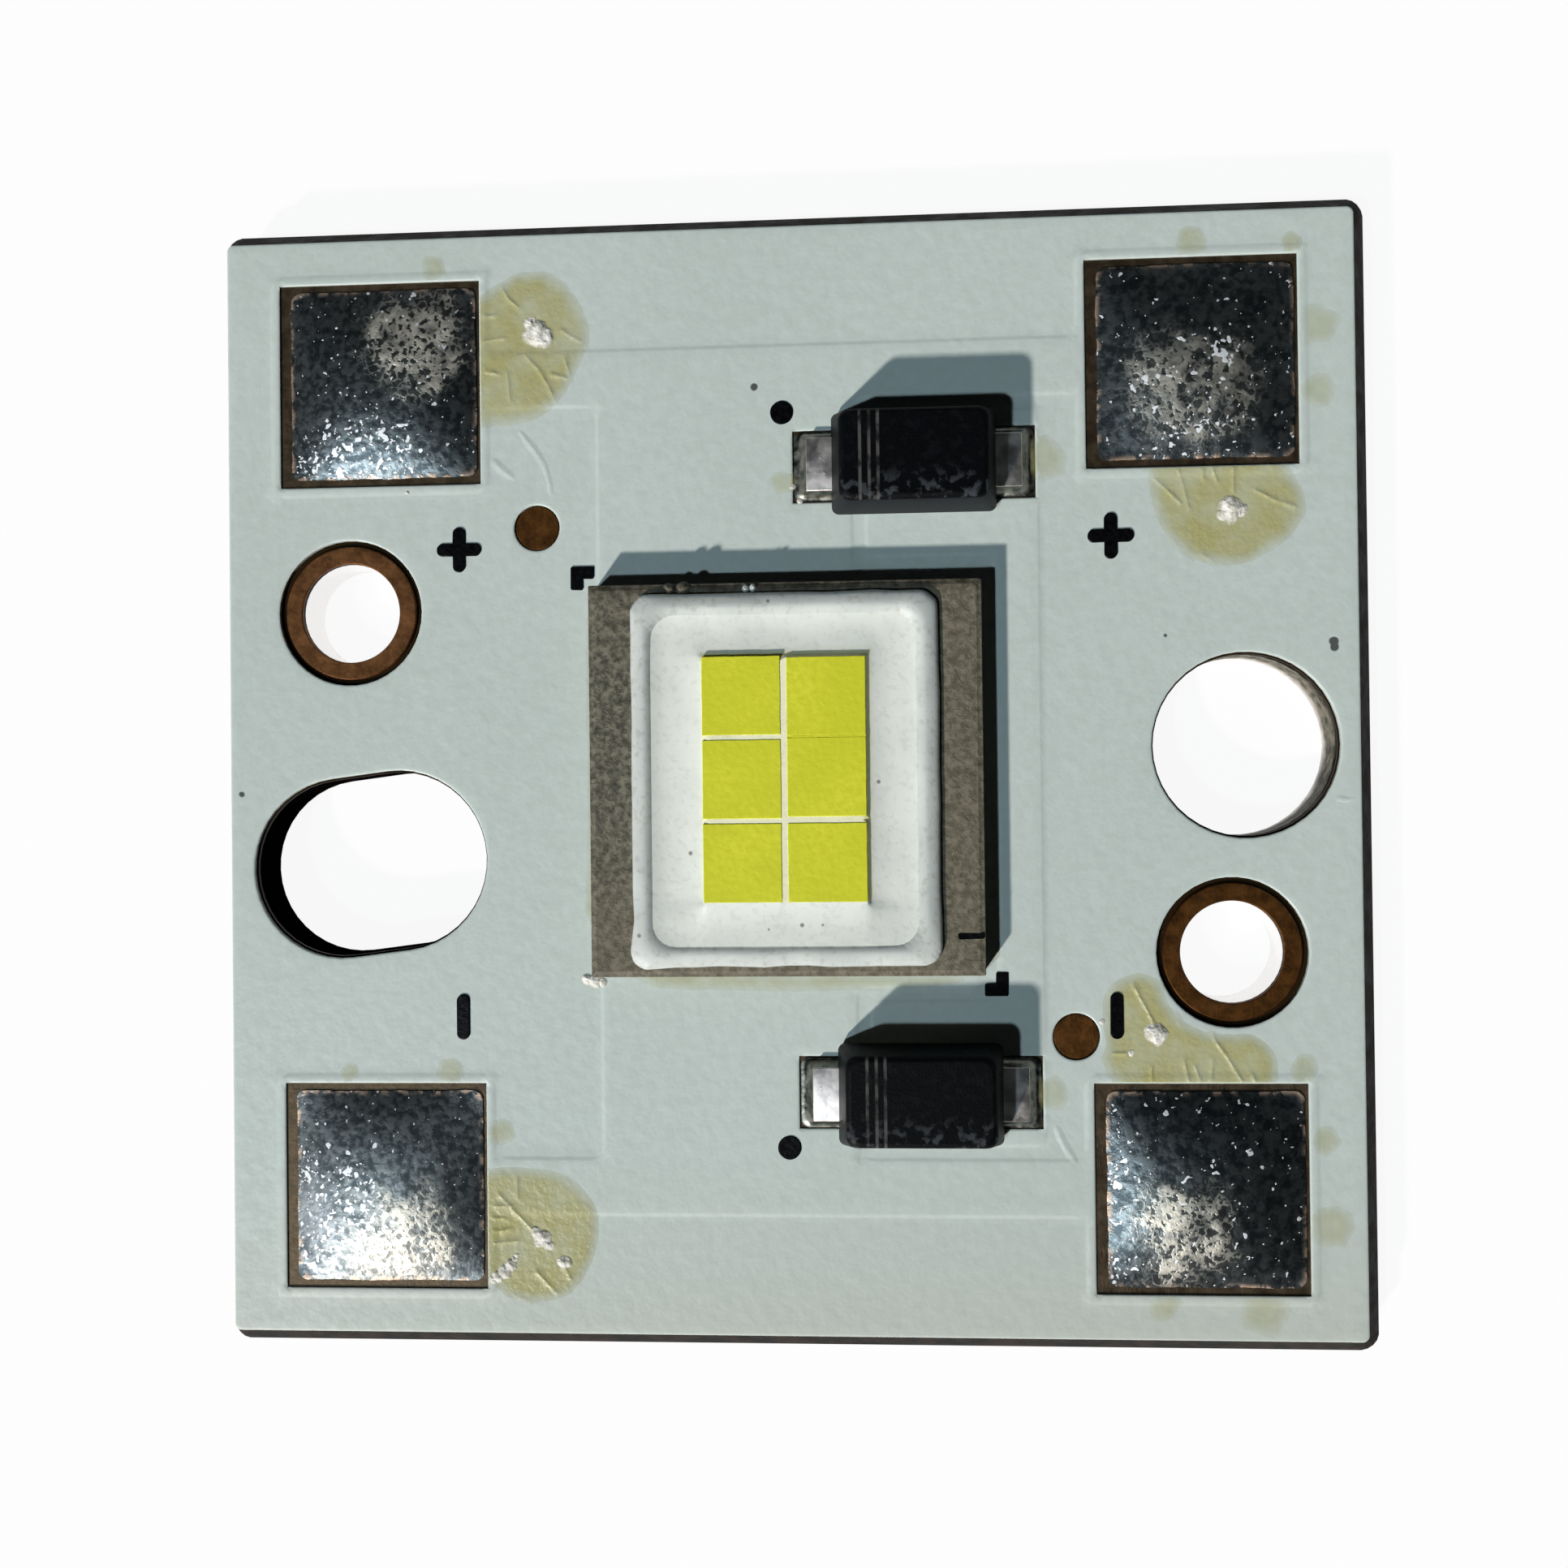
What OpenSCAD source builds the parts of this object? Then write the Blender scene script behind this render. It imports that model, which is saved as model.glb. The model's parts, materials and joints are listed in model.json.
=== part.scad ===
// Multi-chip light-emitting diode on a copper-core circuit board.
// Millimetres, +Z up. The origin is the middle of the board's flat back face.
// Seen from above, +X is right and +Y is the side of the plus marks.

/* [Board] */
// Width of the board's outline, left to right
board_w = 20.8; // [20:0.1:24.4]
// Depth of the board's outline, lower to upper side
board_d = 20.4; // [20:0.1:24.4]
// Thickness of the copper core
core_t = 1; // [0.8:0.1:2]
// Width of the scored bevel round both faces of the core
bevel_w = 0.3; // [0.05:0.01:0.4]
// Height of that bevel
bevel_h = 0.3; // [0.1:0.05:0.35]
// Thickness of the insulating layer on the core
insulation_t = 0.08; // [0.05:0.01:0.2]
// Thickness of the copper foil
foil_t = 0.07; // [0.03:0.01:0.15]
// Thickness of the solder mask above the foil
mask_t = 0.05; // [0.02:0.01:0.1]
// Clearance between a mask opening and the solder inside it
mask_gap = 0.03; // [0.01:0.01:0.06]
// Clearance between neighbouring foils
foil_gap = 0.25; // [0.15:0.01:0.35]

/* [Holes] */
// Diameter of the round screw hole
screw_d = 3.2; // [2.6:0.1:3.6]
// From the board's right edge to the middle of the screw hole
screw_edge = 2.27; // [2.2:0.01:3.2]
// Height of the screw hole above the board's middle line
screw_up = 0.51; // [0:0.01:1]
// Width of the slot
slot_w = 3.2; // [2.6:0.1:3.6]
// Length of the slot, end to end
slot_l = 4.25; // [3.8:0.05:4.7]
// From the board's left edge to the middle of the slot
slot_edge = 2.88; // [2.8:0.01:3.4]
// Depth of the slot below the board's middle line
slot_down = 1.45; // [1:0.01:1.8]
// Diameter of the two locating holes
peg_d = 1.8; // [1.2:0.1:2.1]
// From the board's side edge to the middle of a locating hole
peg_edge = 2.55; // [2.2:0.05:3.2]
// Height of the left locating hole above the middle line, and depth of the right one below it
peg_up = 3.12; // [2.9:0.02:3.3]
// Outer diameter of the bare copper ring round a locating hole
ring_d = 2.42; // [2.3:0.02:2.8]
// Width of the gap between the ring and the mask round it
ring_gap = 0.11; // [0.05:0.01:0.2]

/* [Wire pads] */
// Side of a square wire pad's opening in the mask
pad_w = 3.7; // [3:0.1:4]
// From the board's left or right edge to a wire pad's opening
pad_side = 1.28; // [1:0.02:1.5]
// From the board's upper or lower edge to a wire pad's opening
pad_end = 1.09; // [0.9:0.01:1.3]
// How far the foil runs under the mask round a wire pad
pad_lap = 0.15; // [0.05:0.01:0.25]
// Width of the foil neck that leads to a wire pad
neck_w = 1; // [0.6:0.05:1.2]
// Bare copper left of the solder on a wire pad
solder_left = 0.2; // [0.1:0.01:0.3]
// Bare copper right of the solder on a wire pad
solder_right = 0.06; // [0.02:0.01:0.2]
// Bare copper above and below the solder on a wire pad
solder_end = 0.13; // [0.05:0.01:0.3]
// Height of the solder in the middle of a wire pad
solder_h = 0.3; // [0.2:0.01:0.5]
// Height of the solder at its corners
solder_rim = 0.06; // [0.03:0.01:0.12]
// Corner radius of the solder on a wire pad
solder_r = 0.3; // [0.1:0.05:0.8]

/* [LED package] */
// Side of the square ceramic
led_w = 6.9; // [6.6:0.05:7.2]
// How far the package's middle lies right of the board's middle
led_x = 0.08; // [-0.1:0.01:0.15]
// Thickness of the ceramic
ceramic_t = 0.55; // [0.4:0.05:1]
// Thickness of the metal pads under the ceramic
metal_t = 0.03; // [0.01:0.01:0.06]
// How far every solder joint stands above the mask
joint_rise = 0.01; // [0.01:0.01:0.05]
// From the ceramic's edge to the metal pads under it
terminal_edge = 0.3; // [0.2:0.05:0.4]
// Depth of the anode's and the cathode's metal pad
terminal_d = 1.05; // [0.8:0.05:1.2]
// Clearance between those pads and the thermal pad
terminal_gap = 0.42; // [0.35:0.01:0.6]
// Side of a light-emitting die and of the phosphor tile on it
chip_w = 1.37; // [1:0.01:1.6]
// Clearance between the two columns of dies
column_gap = 0.11; // [0.06:0.01:0.2]
// Clearance between the three rows of dies
row_gap = 0.085; // [0.06:0.005:0.2]
// Clearance between the two upper right dies, which sit closer
close_gap = 0.03; // [0.02:0.01:0.06]
// Thickness of a die
chip_t = 0.1; // [0.08:0.01:0.15]
// Thickness of a phosphor tile
tile_t = 0.13; // [0.11:0.01:0.2]
// From the ceramic's side edge to the dam
dam_side = 0.74; // [0.5:0.02:1]
// From the ceramic's upper and lower edge to the dam
dam_end = 0.17; // [0.1:0.01:0.4]
// Width of the dam's wall at its foot
dam_wall = 0.36; // [0.25:0.01:0.5]
// How far the dam's outer side leans in
dam_lean = 0.12; // [0.05:0.01:0.18]
// Height of the dam
dam_h = 0.28; // [0.27:0.01:0.45]
// Corner radius of the dam
dam_r = 0.4; // [0.2:0.05:0.6]
// Height of the white fill where it meets the dam
fill_edge_h = 0.26; // [0.2:0.01:0.26]
// Height of the white fill beside the dies
fill_floor_h = 0.16; // [0.12:0.01:0.18]
// Width of the fill's sloping border
fill_slope = 0.35; // [0.2:0.05:0.5]

/* [Diodes] */
// From the ceramic to a diode's moulded body
diode_gap = 1.22; // [1:0.02:1.3]
// How far a diode's middle lies right of the package's middle
diode_right = 2.305; // [2.1:0.005:2.4]
// Length of the moulded body at its foot
body_l = 2.9; // [2.6:0.05:3]
// Depth of the moulded body at its foot
body_d = 1.8; // [1.5:0.05:1.9]
// Height of the moulded body
body_h = 0.99; // [0.8:0.01:1.2]
// How far the body's ends lean in
end_lean = 0.15; // [0.05:0.01:0.2]
// How far the body's long sides lean in
side_lean = 0.11; // [0.05:0.01:0.2]
// Width of a lead
lead_w = 0.95; // [0.7:0.05:1.1]
// Thickness of a lead
lead_t = 0.2; // [0.12:0.01:0.25]
// How far a lead stands out of the body
lead_out = 0.45; // [0.35:0.05:0.5]
// Side of the diode's square die
die_w = 0.8; // [0.5:0.05:0.9]
// Thickness of the diode's die
die_t = 0.15; // [0.1:0.01:0.2]
// Thickness of the anode's strap over the die
strap_t = 0.15; // [0.1:0.01:0.2]
// Clearance between the cathode's paddle and the anode's riser
paddle_gap = 0.2; // [0.1:0.05:0.3]
// How far a solder joint reaches under the body
joint_under = 0.35; // [0.2:0.05:0.45]
// Length of the solder fillet beyond a lead's end
fillet_l = 0.22; // [0.1:0.01:0.25]
// Width of the solder fillet along a lead's sides
fillet_w = 0.14; // [0.08:0.01:0.2]
// Height of the solder fillets
fillet_h = 0.15; // [0.08:0.01:0.18]

/* [Printed marks] */
// Thickness of the printed ink
ink_t = 0.02; // [0.01:0.01:0.05]
// Length of the strokes of the plus and minus marks
stroke_l = 0.81; // [0.5:0.01:0.9]
// Width of those strokes
stroke_w = 0.23; // [0.12:0.01:0.3]
// From a wire pad's opening to the middle of its mark
mark_gap = 1.19; // [1.1:0.01:1.3]
// How far a mark lies inwards of its wire pad's middle
mark_in = 1.44; // [1.3:0.01:1.6]
// Diameter of the dots beside the diodes
dot_d = 0.42; // [0.3:0.01:0.5]
// From the end of a diode's lead to the middle of its dot
dot_left = 0.435; // [0.35:0.005:0.5]
// From a diode's middle to its dot, away from the package
dot_up = 0.98; // [0.85:0.01:1]
// Length of the corner marks' arms
corner_l = 0.42; // [0.3:0.01:0.5]
// Width of the corner marks' arms
corner_w = 0.22; // [0.12:0.01:0.24]
// Clearance between a corner mark's inner corner and the ceramic's corner
corner_gap = 0.2; // [0.15:0.01:0.25]
// Diameter of the two bare copper fiducials
fiducial_d = 0.8; // [0.6:0.05:0.9]
// From a wire pad's opening to the middle of a fiducial, towards the board's middle line
fiducial_up = 0.82; // [0.75:0.01:1.1]
// From the positive foil's block to the left fiducial
left_fiducial_gap = 0.71; // [0.5:0.01:0.8]
// From the link foil to the right fiducial
right_fiducial_gap = 0.14; // [0.1:0.01:0.3]

/* [Hidden] */
$fn = 64;

// Colours, as the eye sees them
copper_colour = [0.55, 0.31, 0.18];
insulation_colour = [0.2, 0.15, 0.11];
mask_colour = [0.78, 0.83, 0.81];
ink_colour = [0.04, 0.04, 0.04];
solder_colour = [0.62, 0.63, 0.65];
ceramic_colour = [0.42, 0.39, 0.34];
gold_colour = [0.75, 0.62, 0.3];
white_colour = [0.93, 0.93, 0.91];
die_colour = [0.35, 0.4, 0.55];
phosphor_colour = [0.8, 0.82, 0.12];
mould_colour = [0.07, 0.07, 0.08];
lead_colour = [0.72, 0.7, 0.66];

// Heights of the layers
foil_z = core_t + insulation_t;
foil_top = foil_z + foil_t;
mask_top = foil_top + mask_t;
joint_t = mask_t + joint_rise;
metal_z = foil_top + joint_t;
ceramic_z = metal_z + metal_t;
ceramic_top = ceramic_z + ceramic_t;

// Extra length of a cutting shape beyond the face that it cuts
over = 1;
// Thickness of the slices that a leaning form is stretched between
slice = 0.01;
// Flat land left between the fill's slope and the dam
land = 0.05;
// Roundness of a shape that is stretched between slices
soft_fn = 32;
// Roundness of the solder's dome
dome_fn = 200;

// Faces and places on the board
face_w = board_w - 2 * bevel_w;
face_d = board_d - 2 * bevel_w;
screw_x = board_w / 2 - screw_edge;
slot_x = slot_edge - board_w / 2;
slot_tilt = atan2(screw_up + slot_down, screw_x - slot_x);
peg_x = board_w / 2 - peg_edge;
pad_x = board_w / 2 - pad_side - pad_w / 2;
pad_y = board_d / 2 - pad_end - pad_w / 2;
ring_open_d = ring_d + 2 * ring_gap;

// Places round the package
led_left = led_x - led_w / 2;
led_right = led_x + led_w / 2;
terminal_w = led_w - 2 * terminal_edge;
terminal_y = led_w / 2 - terminal_edge - terminal_d / 2;
thermal_d = led_w - 2 * (terminal_edge + terminal_d + terminal_gap);
dam_w = led_w - 2 * dam_side;
dam_d = led_w - 2 * dam_end;
well_w = dam_w - 2 * dam_wall;
well_d = dam_d - 2 * dam_wall;
chip_step_x = chip_w + column_gap;
chip_step_y = chip_w + row_gap;

// Places round the diodes
diode_x = led_x + diode_right;
diode_y = led_w / 2 + diode_gap + body_d / 2;
lead_reach = body_l / 2 + lead_out;
joint_in = body_l / 2 - joint_under;
joint_out = lead_reach + fillet_l;
joint_w = lead_w + 2 * fillet_w;
riser_x = die_w / 2 + paddle_gap;
strap_z = lead_t + die_t;

// Edges of the foils
foil_side = 0.08;
block_left = led_left + foil_side;
block_right = led_right - foil_side;
block_in = terminal_y - terminal_d / 2;
block_out = led_w / 2 + foil_gap;
split_x = diode_x - joint_in;
link_right = diode_x + joint_out + foil_side;
link_left = led_right + foil_gap;
link_out = pad_y - neck_w / 2 - foil_gap;

// Places of the printed marks and fiducials
mark_x = pad_x - mark_in;
mark_y = pad_y - pad_w / 2 - mark_gap;
dot_x = diode_x - lead_reach - dot_left;
dot_y = diode_y + dot_up;
fiducial_y = pad_y - pad_w / 2 - fiducial_up;
left_fiducial_x = block_left - left_fiducial_gap - fiducial_d / 2;
right_fiducial_x = link_right + right_fiducial_gap + fiducial_d / 2;

// A box that stands on the height z, with its middle on the Z axis
module slab(w, d, z, h) {
    translate([-w / 2, -d / 2, z])
        cube([w, d, h]);
}

// A flat rectangle between two corners
module field(x0, x1, y0, y1) {
    translate([x0, y0])
        square([x1 - x0, y1 - y0]);
}

// A flat rectangle with round corners, with its middle at the origin
module rounded_field(w, d, r) {
    square([w - 2 * r, d], center = true);
    square([w, d - 2 * r], center = true);
    for (x = [-1, 1], y = [-1, 1])
        translate([x * (w / 2 - r), y * (d / 2 - r)])
            circle(r);
}

// A block whose sides lean in from its foot to its top
module leaning_block(w, d, h, lean_x, lean_y) {
    intersection() {
        translate([0, d / 2, 0])
            rotate([90, 0, 0])
                linear_extrude(d)
                    polygon([[-w / 2, 0], [w / 2, 0], [w / 2 - lean_x, h], [lean_x - w / 2, h]]);
        translate([-w / 2, 0, 0])
            rotate([90, 0, 90])
                linear_extrude(w)
                    polygon([[-d / 2, 0], [d / 2, 0], [d / 2 - lean_y, h], [lean_y - d / 2, h]]);
    }
}

// One profile of the core across a side of the given length
module core_profile(side) {
    e = side / 2;
    polygon([
        [bevel_w - e, 0], [e - bevel_w, 0], [e, bevel_h], [e, core_t - bevel_h],
        [e - bevel_w, core_t], [bevel_w - e, core_t], [-e, core_t - bevel_h], [-e, bevel_h]
    ]);
}

// The outline of the slot, along the line from the slot to the screw hole
module slot_field() {
    translate([slot_x, -slot_down])
        rotate(slot_tilt) {
            square([slot_l - slot_w, slot_w], center = true);
            for (side = [-1, 1])
                translate([side * (slot_l - slot_w) / 2, 0])
                    circle(d = slot_w);
        }
}

// The outlines of every hole that goes right through the board
module hole_fields() {
    translate([screw_x, screw_up])
        circle(d = screw_d);
    slot_field();
    peg_fields(peg_d);
}

// A disc of the given diameter at each locating hole
module peg_fields(d) {
    translate([-peg_x, peg_up])
        circle(d = d);
    translate([peg_x, -peg_up])
        circle(d = d);
}

// A square of the given side at each wire pad
module pad_fields(side) {
    for (x = [-1, 1], y = [-1, 1])
        translate([x * pad_x, y * pad_y])
            square(side, center = true);
}

// The outline of a supply foil, clear of the rings: side is 1 for the positive one, -1 for its mirror image
module supply_field(side) {
    difference() {
        mirror([0, side < 0 ? 1 : 0]) {
            field(block_left, split_x, block_in, pad_y + neck_w / 2);
            field(block_left, block_right, block_in, block_out);
            field(-pad_x, pad_x, pad_y - neck_w / 2, pad_y + neck_w / 2);
            for (x = [-1, 1])
                translate([x * pad_x, pad_y])
                    square(pad_w + 2 * pad_lap, center = true);
        }
        peg_fields(ring_d + 2 * foil_gap);
    }
}

// The outline of the foil that joins the right leads of both diodes and keeps clear of the wire pads
module link_field() {
    wing_in = block_out + foil_gap;
    difference() {
        union() {
            field(link_left, link_right, -link_out, link_out);
            field(split_x + foil_gap, link_right, wing_in, link_out);
            field(split_x + foil_gap, link_right, -link_out, -wing_in);
        }
        pad_fields(pad_w + 2 * (pad_lap + foil_gap));
    }
}

// The outline of the foil under the mask, grouped
module foil_fields() {
    supply_field(1);
    supply_field(-1);
    link_field();
}

// The outlines of the mask's openings
module opening_fields() {
    pad_fields(pad_w);
    peg_fields(ring_open_d);
    translate([left_fiducial_x, fiducial_y])
        circle(d = fiducial_d + mask_gap);
    translate([right_fiducial_x, -fiducial_y])
        circle(d = fiducial_d + mask_gap);
    translate([led_x, 0]) {
        square([terminal_w + 2 * mask_gap, thermal_d + 2 * mask_gap], center = true);
        for (side = [-1, 1])
            translate([0, side * terminal_y])
                square([terminal_w + 2 * mask_gap, terminal_d + 2 * mask_gap], center = true);
    }
    for (x = [0, 1], y = [-1, 1])
        translate([diode_x, y * diode_y])
            mirror([x, 0])
                field(joint_in - mask_gap, joint_out + mask_gap, -joint_w / 2 - mask_gap, joint_w / 2 + mask_gap);
}

module copper_core() {
    color(copper_colour)
        difference() {
            union() {
                intersection() {
                    translate([0, board_d / 2, 0])
                        rotate([90, 0, 0])
                            linear_extrude(board_d)
                                core_profile(board_w);
                    translate([-board_w / 2, 0, 0])
                        rotate([90, 0, 90])
                            linear_extrude(board_w)
                                core_profile(board_d);
                }
                translate([led_x, 0, 0])
                    slab(terminal_w, thermal_d, core_t / 2, foil_top - core_t / 2);
            }
            translate([0, 0, -over])
                linear_extrude(core_t + 2 * over)
                    hole_fields();
        }
}

module insulation() {
    color(insulation_colour)
        difference() {
            slab(face_w, face_d, core_t, insulation_t);
            translate([led_x, 0, 0])
                slab(terminal_w, thermal_d, core_t - over, insulation_t + 2 * over);
            translate([0, 0, core_t - over])
                linear_extrude(insulation_t + 2 * over)
                    hole_fields();
        }
}

module supply_foil(side) {
    color(copper_colour)
        translate([0, 0, foil_z])
            linear_extrude(foil_t)
                supply_field(side);
}

module link_foil() {
    color(copper_colour)
        translate([0, 0, foil_z])
            linear_extrude(foil_t)
                link_field();
}

module ring(x, y) {
    color(copper_colour)
        translate([x, y, foil_z])
            difference() {
                cylinder(h = foil_t, d = ring_d);
                translate([0, 0, -over])
                    cylinder(h = foil_t + 2 * over, d = peg_d);
            }
}

module fiducial(x, y) {
    color(copper_colour)
        translate([x, y, foil_z])
            cylinder(h = foil_t, d = fiducial_d);
}

module solder_mask() {
    color(mask_colour)
        difference() {
            slab(face_w, face_d, foil_z, mask_top - foil_z);
            translate([0, 0, foil_z - over])
                linear_extrude(mask_top - foil_z + 2 * over) {
                    hole_fields();
                    opening_fields();
                }
            translate([0, 0, foil_z - over])
                linear_extrude(foil_t + over)
                    foil_fields();
            translate([led_x, 0, 0])
                slab(terminal_w, thermal_d, foil_z - over, foil_t + over);
        }
}

// A flat printed shape on the mask
module ink() {
    color(ink_colour)
        translate([0, 0, mask_top])
            linear_extrude(ink_t)
                children();
}

module plus_mark(side) {
    ink()
        translate([side * mark_x, mark_y]) {
            square([stroke_l, stroke_w], center = true);
            square([stroke_w, stroke_l], center = true);
        }
}

module minus_mark(side) {
    ink()
        translate([side * mark_x, -mark_y])
            square([stroke_w, stroke_l], center = true);
}

module dot_mark(side) {
    ink()
        translate([dot_x, side * dot_y])
            circle(d = dot_d);
}

// An angle round a corner of the ceramic: the upper left one, or its opposite
module corner_mark(side) {
    reach = corner_gap + corner_w;
    ink()
        translate([led_x, 0])
            rotate(side > 0 ? 0 : 180)
                translate([-led_w / 2 - reach, led_w / 2 + reach]) {
                    field(0, corner_l, -corner_w, 0);
                    field(0, corner_w, -corner_l, 0);
                }
}

// The solder pillow on the wire pad at one corner of the board
module pad_solder(side_x, side_y) {
    w = pad_w - solder_left - solder_right;
    d = pad_w - 2 * solder_end;
    corner_reach = norm([w / 2 - solder_r, d / 2 - solder_r]) + solder_r;
    drop = solder_h - solder_rim;
    dome_r = (corner_reach * corner_reach + drop * drop) / (2 * drop);
    color(solder_colour)
        translate([side_x * pad_x + (solder_left - solder_right) / 2, side_y * pad_y, foil_top])
            intersection() {
                linear_extrude(solder_h)
                    rounded_field(w, d, solder_r);
                translate([0, 0, solder_h - dome_r])
                    sphere(dome_r, $fn = dome_fn);
            }
}

module led_ceramic() {
    color(ceramic_colour)
        translate([led_x, 0, 0])
            slab(led_w, led_w, ceramic_z, ceramic_t);
}

// A metal pad under the ceramic; side is 1 for the anode, -1 for the cathode and 0 for the thermal pad
module terminal(side, z, h) {
    translate([led_x, side * terminal_y, 0])
        slab(terminal_w, side == 0 ? thermal_d : terminal_d, z, h);
}

module led_metal(side) {
    color(gold_colour)
        terminal(side, metal_z, metal_t);
}

module led_joint(side) {
    color(solder_colour)
        terminal(side, foil_top, joint_t);
}

// The place of a die: column 0 is the left one, row 0 is the upper one
function chip_x(column) = led_x + (column - 0.5) * chip_step_x;
function chip_nudge(column, row) = column == 1 && row < 2 ? (row - 0.5) * (row_gap - close_gap) : 0;
function chip_y(column, row) = (1 - row) * chip_step_y + chip_nudge(column, row);

module chip_slab(number, z, h) {
    column = (number - 1) % 2;
    row = floor((number - 1) / 2);
    translate([chip_x(column), chip_y(column, row), 0])
        slab(chip_w, chip_w, z, h);
}

module led_die(number) {
    color(die_colour)
        chip_slab(number, ceramic_top, chip_t);
}

module phosphor_tile(number) {
    color(phosphor_colour)
        chip_slab(number, ceramic_top + chip_t, tile_t);
}

// A form with round corners that leans by the same distance on all sides
module leaning_pillow(w, d, r, h, lean) {
    hull() {
        linear_extrude(slice)
            rounded_field(w, d, r, $fn = soft_fn);
        translate([0, 0, h - slice])
            linear_extrude(slice)
                rounded_field(w - 2 * lean, d - 2 * lean, r, $fn = soft_fn);
    }
}

module led_dam() {
    color(white_colour)
        translate([led_x, 0, ceramic_top])
            difference() {
                leaning_pillow(dam_w, dam_d, dam_r, dam_h, dam_lean);
                translate([0, 0, -over])
                    linear_extrude(dam_h + 2 * over)
                        rounded_field(well_w, well_d, dam_r);
            }
}

module led_fill() {
    dish_w = well_w - 2 * (land + fill_slope);
    dish_d = well_d - 2 * (land + fill_slope);
    color(white_colour)
        difference() {
            translate([led_x, 0, ceramic_top])
                linear_extrude(fill_edge_h)
                    rounded_field(well_w, well_d, dam_r);
            translate([led_x, 0, ceramic_top + fill_floor_h])
                leaning_pillow(dish_w, dish_d, dam_r, fill_edge_h - fill_floor_h + slice, -fill_slope);
            for (number = [1 : 6])
                chip_slab(number, ceramic_top - over, chip_t + 2 * over);
        }
}

// Places a diode's piece: side is 1 for the upper diode and -1 for the lower one
module at_diode(side) {
    translate([diode_x, side * diode_y, foil_top + joint_t])
        children();
}

module cathode_lead_form() {
    translate([-lead_reach, -lead_w / 2, 0])
        cube([lead_reach + die_w / 2, lead_w, lead_t]);
}

// The anode lead steps up beside the die and ends in a strap on top of it
module anode_lead_form() {
    translate([0, lead_w / 2, 0])
        rotate([90, 0, 0])
            linear_extrude(lead_w)
                polygon([
                    [lead_reach, 0], [lead_reach, lead_t], [riser_x + lead_t, lead_t],
                    [riser_x + lead_t, strap_z + strap_t], [-die_w / 2, strap_z + strap_t],
                    [-die_w / 2, strap_z], [riser_x, strap_z], [riser_x, 0]
                ]);
}

module die_form() {
    slab(die_w, die_w, lead_t, die_t);
}

module diode_body(side) {
    color(mould_colour)
        at_diode(side)
            difference() {
                leaning_block(body_l, body_d, body_h, end_lean, side_lean);
                cathode_lead_form();
                anode_lead_form();
                die_form();
            }
}

module diode_cathode_lead(side) {
    color(lead_colour)
        at_diode(side)
            cathode_lead_form();
}

module diode_anode_lead(side) {
    color(lead_colour)
        at_diode(side)
            anode_lead_form();
}

module diode_die(side) {
    color(die_colour)
        at_diode(side)
            die_form();
}

// The solder under a lead, with a fillet round the lead's end and sides; end is 1 right, -1 left
module diode_joint(side, end) {
    color(solder_colour)
        at_diode(side)
            mirror([end < 0 ? 1 : 0, 0, 0]) {
                translate([joint_in, -joint_w / 2, -joint_t])
                    cube([joint_out - joint_in, joint_w, joint_t]);
                difference() {
                    fillet_form();
                    translate([0, -lead_w / 2, 0])
                        cube([lead_reach, lead_w, lead_t]);
                }
            }
}

// A block that slopes from a solder joint's outline up to the lead, on three sides
module fillet_form() {
    intersection() {
        translate([0, joint_w / 2, 0])
            rotate([90, 0, 0])
                linear_extrude(joint_w)
                    polygon([[body_l / 2, 0], [joint_out, 0], [lead_reach, fillet_h], [body_l / 2, fillet_h]]);
        rotate([90, 0, 90])
            linear_extrude(joint_out)
                polygon([[-joint_w / 2, 0], [joint_w / 2, 0], [lead_w / 2, fillet_h], [-lead_w / 2, fillet_h]]);
    }
}

copper_core();
insulation();
supply_foil(1);  // positive_foil
supply_foil(-1);  // negative_foil
link_foil();
ring(-peg_x, peg_up);  // left_ring
ring(peg_x, -peg_up);  // right_ring
fiducial(left_fiducial_x, fiducial_y);  // left_fiducial
fiducial(right_fiducial_x, -fiducial_y);  // right_fiducial
solder_mask();
plus_mark(-1);  // plus_left
plus_mark(1);  // plus_right
minus_mark(-1);  // minus_left
minus_mark(1);  // minus_right
dot_mark(1);  // dot_upper
dot_mark(-1);  // dot_lower
corner_mark(1);  // corner_mark_upper
corner_mark(-1);  // corner_mark_lower
pad_solder(-1, 1);  // pad_solder_upper_left
pad_solder(1, 1);  // pad_solder_upper_right
pad_solder(-1, -1);  // pad_solder_lower_left
pad_solder(1, -1);  // pad_solder_lower_right
led_ceramic();
led_metal(1);  // led_anode_metal
led_metal(-1);  // led_cathode_metal
led_metal(0);  // led_thermal_metal
led_joint(1);  // led_anode_joint
led_joint(-1);  // led_cathode_joint
led_joint(0);  // led_thermal_joint
for (number = [1 : 6]) {
    led_die(number);
    phosphor_tile(number);
}
led_dam();
led_fill();
for (diode = [["upper", 1], ["lower", -1]]) {
    name = str(diode[0], "_diode_");
    side = diode[1];
    diode_body(side);
    diode_cathode_lead(side);
    diode_anode_lead(side);
    diode_die(side);
    diode_joint(side, -1);
    diode_joint(side, 1);
}
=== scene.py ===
# %% [markdown]
# This lesson dresses a multi-chip light-emitting diode: a copper board with a pale coating, a ceramic
# package with six yellow tiles, two small black diodes and four tinned pads. The solids come ready made, as
# a fixed frame. We could paint them as they are, but real parts have soft edges, sagging coatings and dried
# flux, so most pieces are modelled again round the frame's own sizes.

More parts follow.
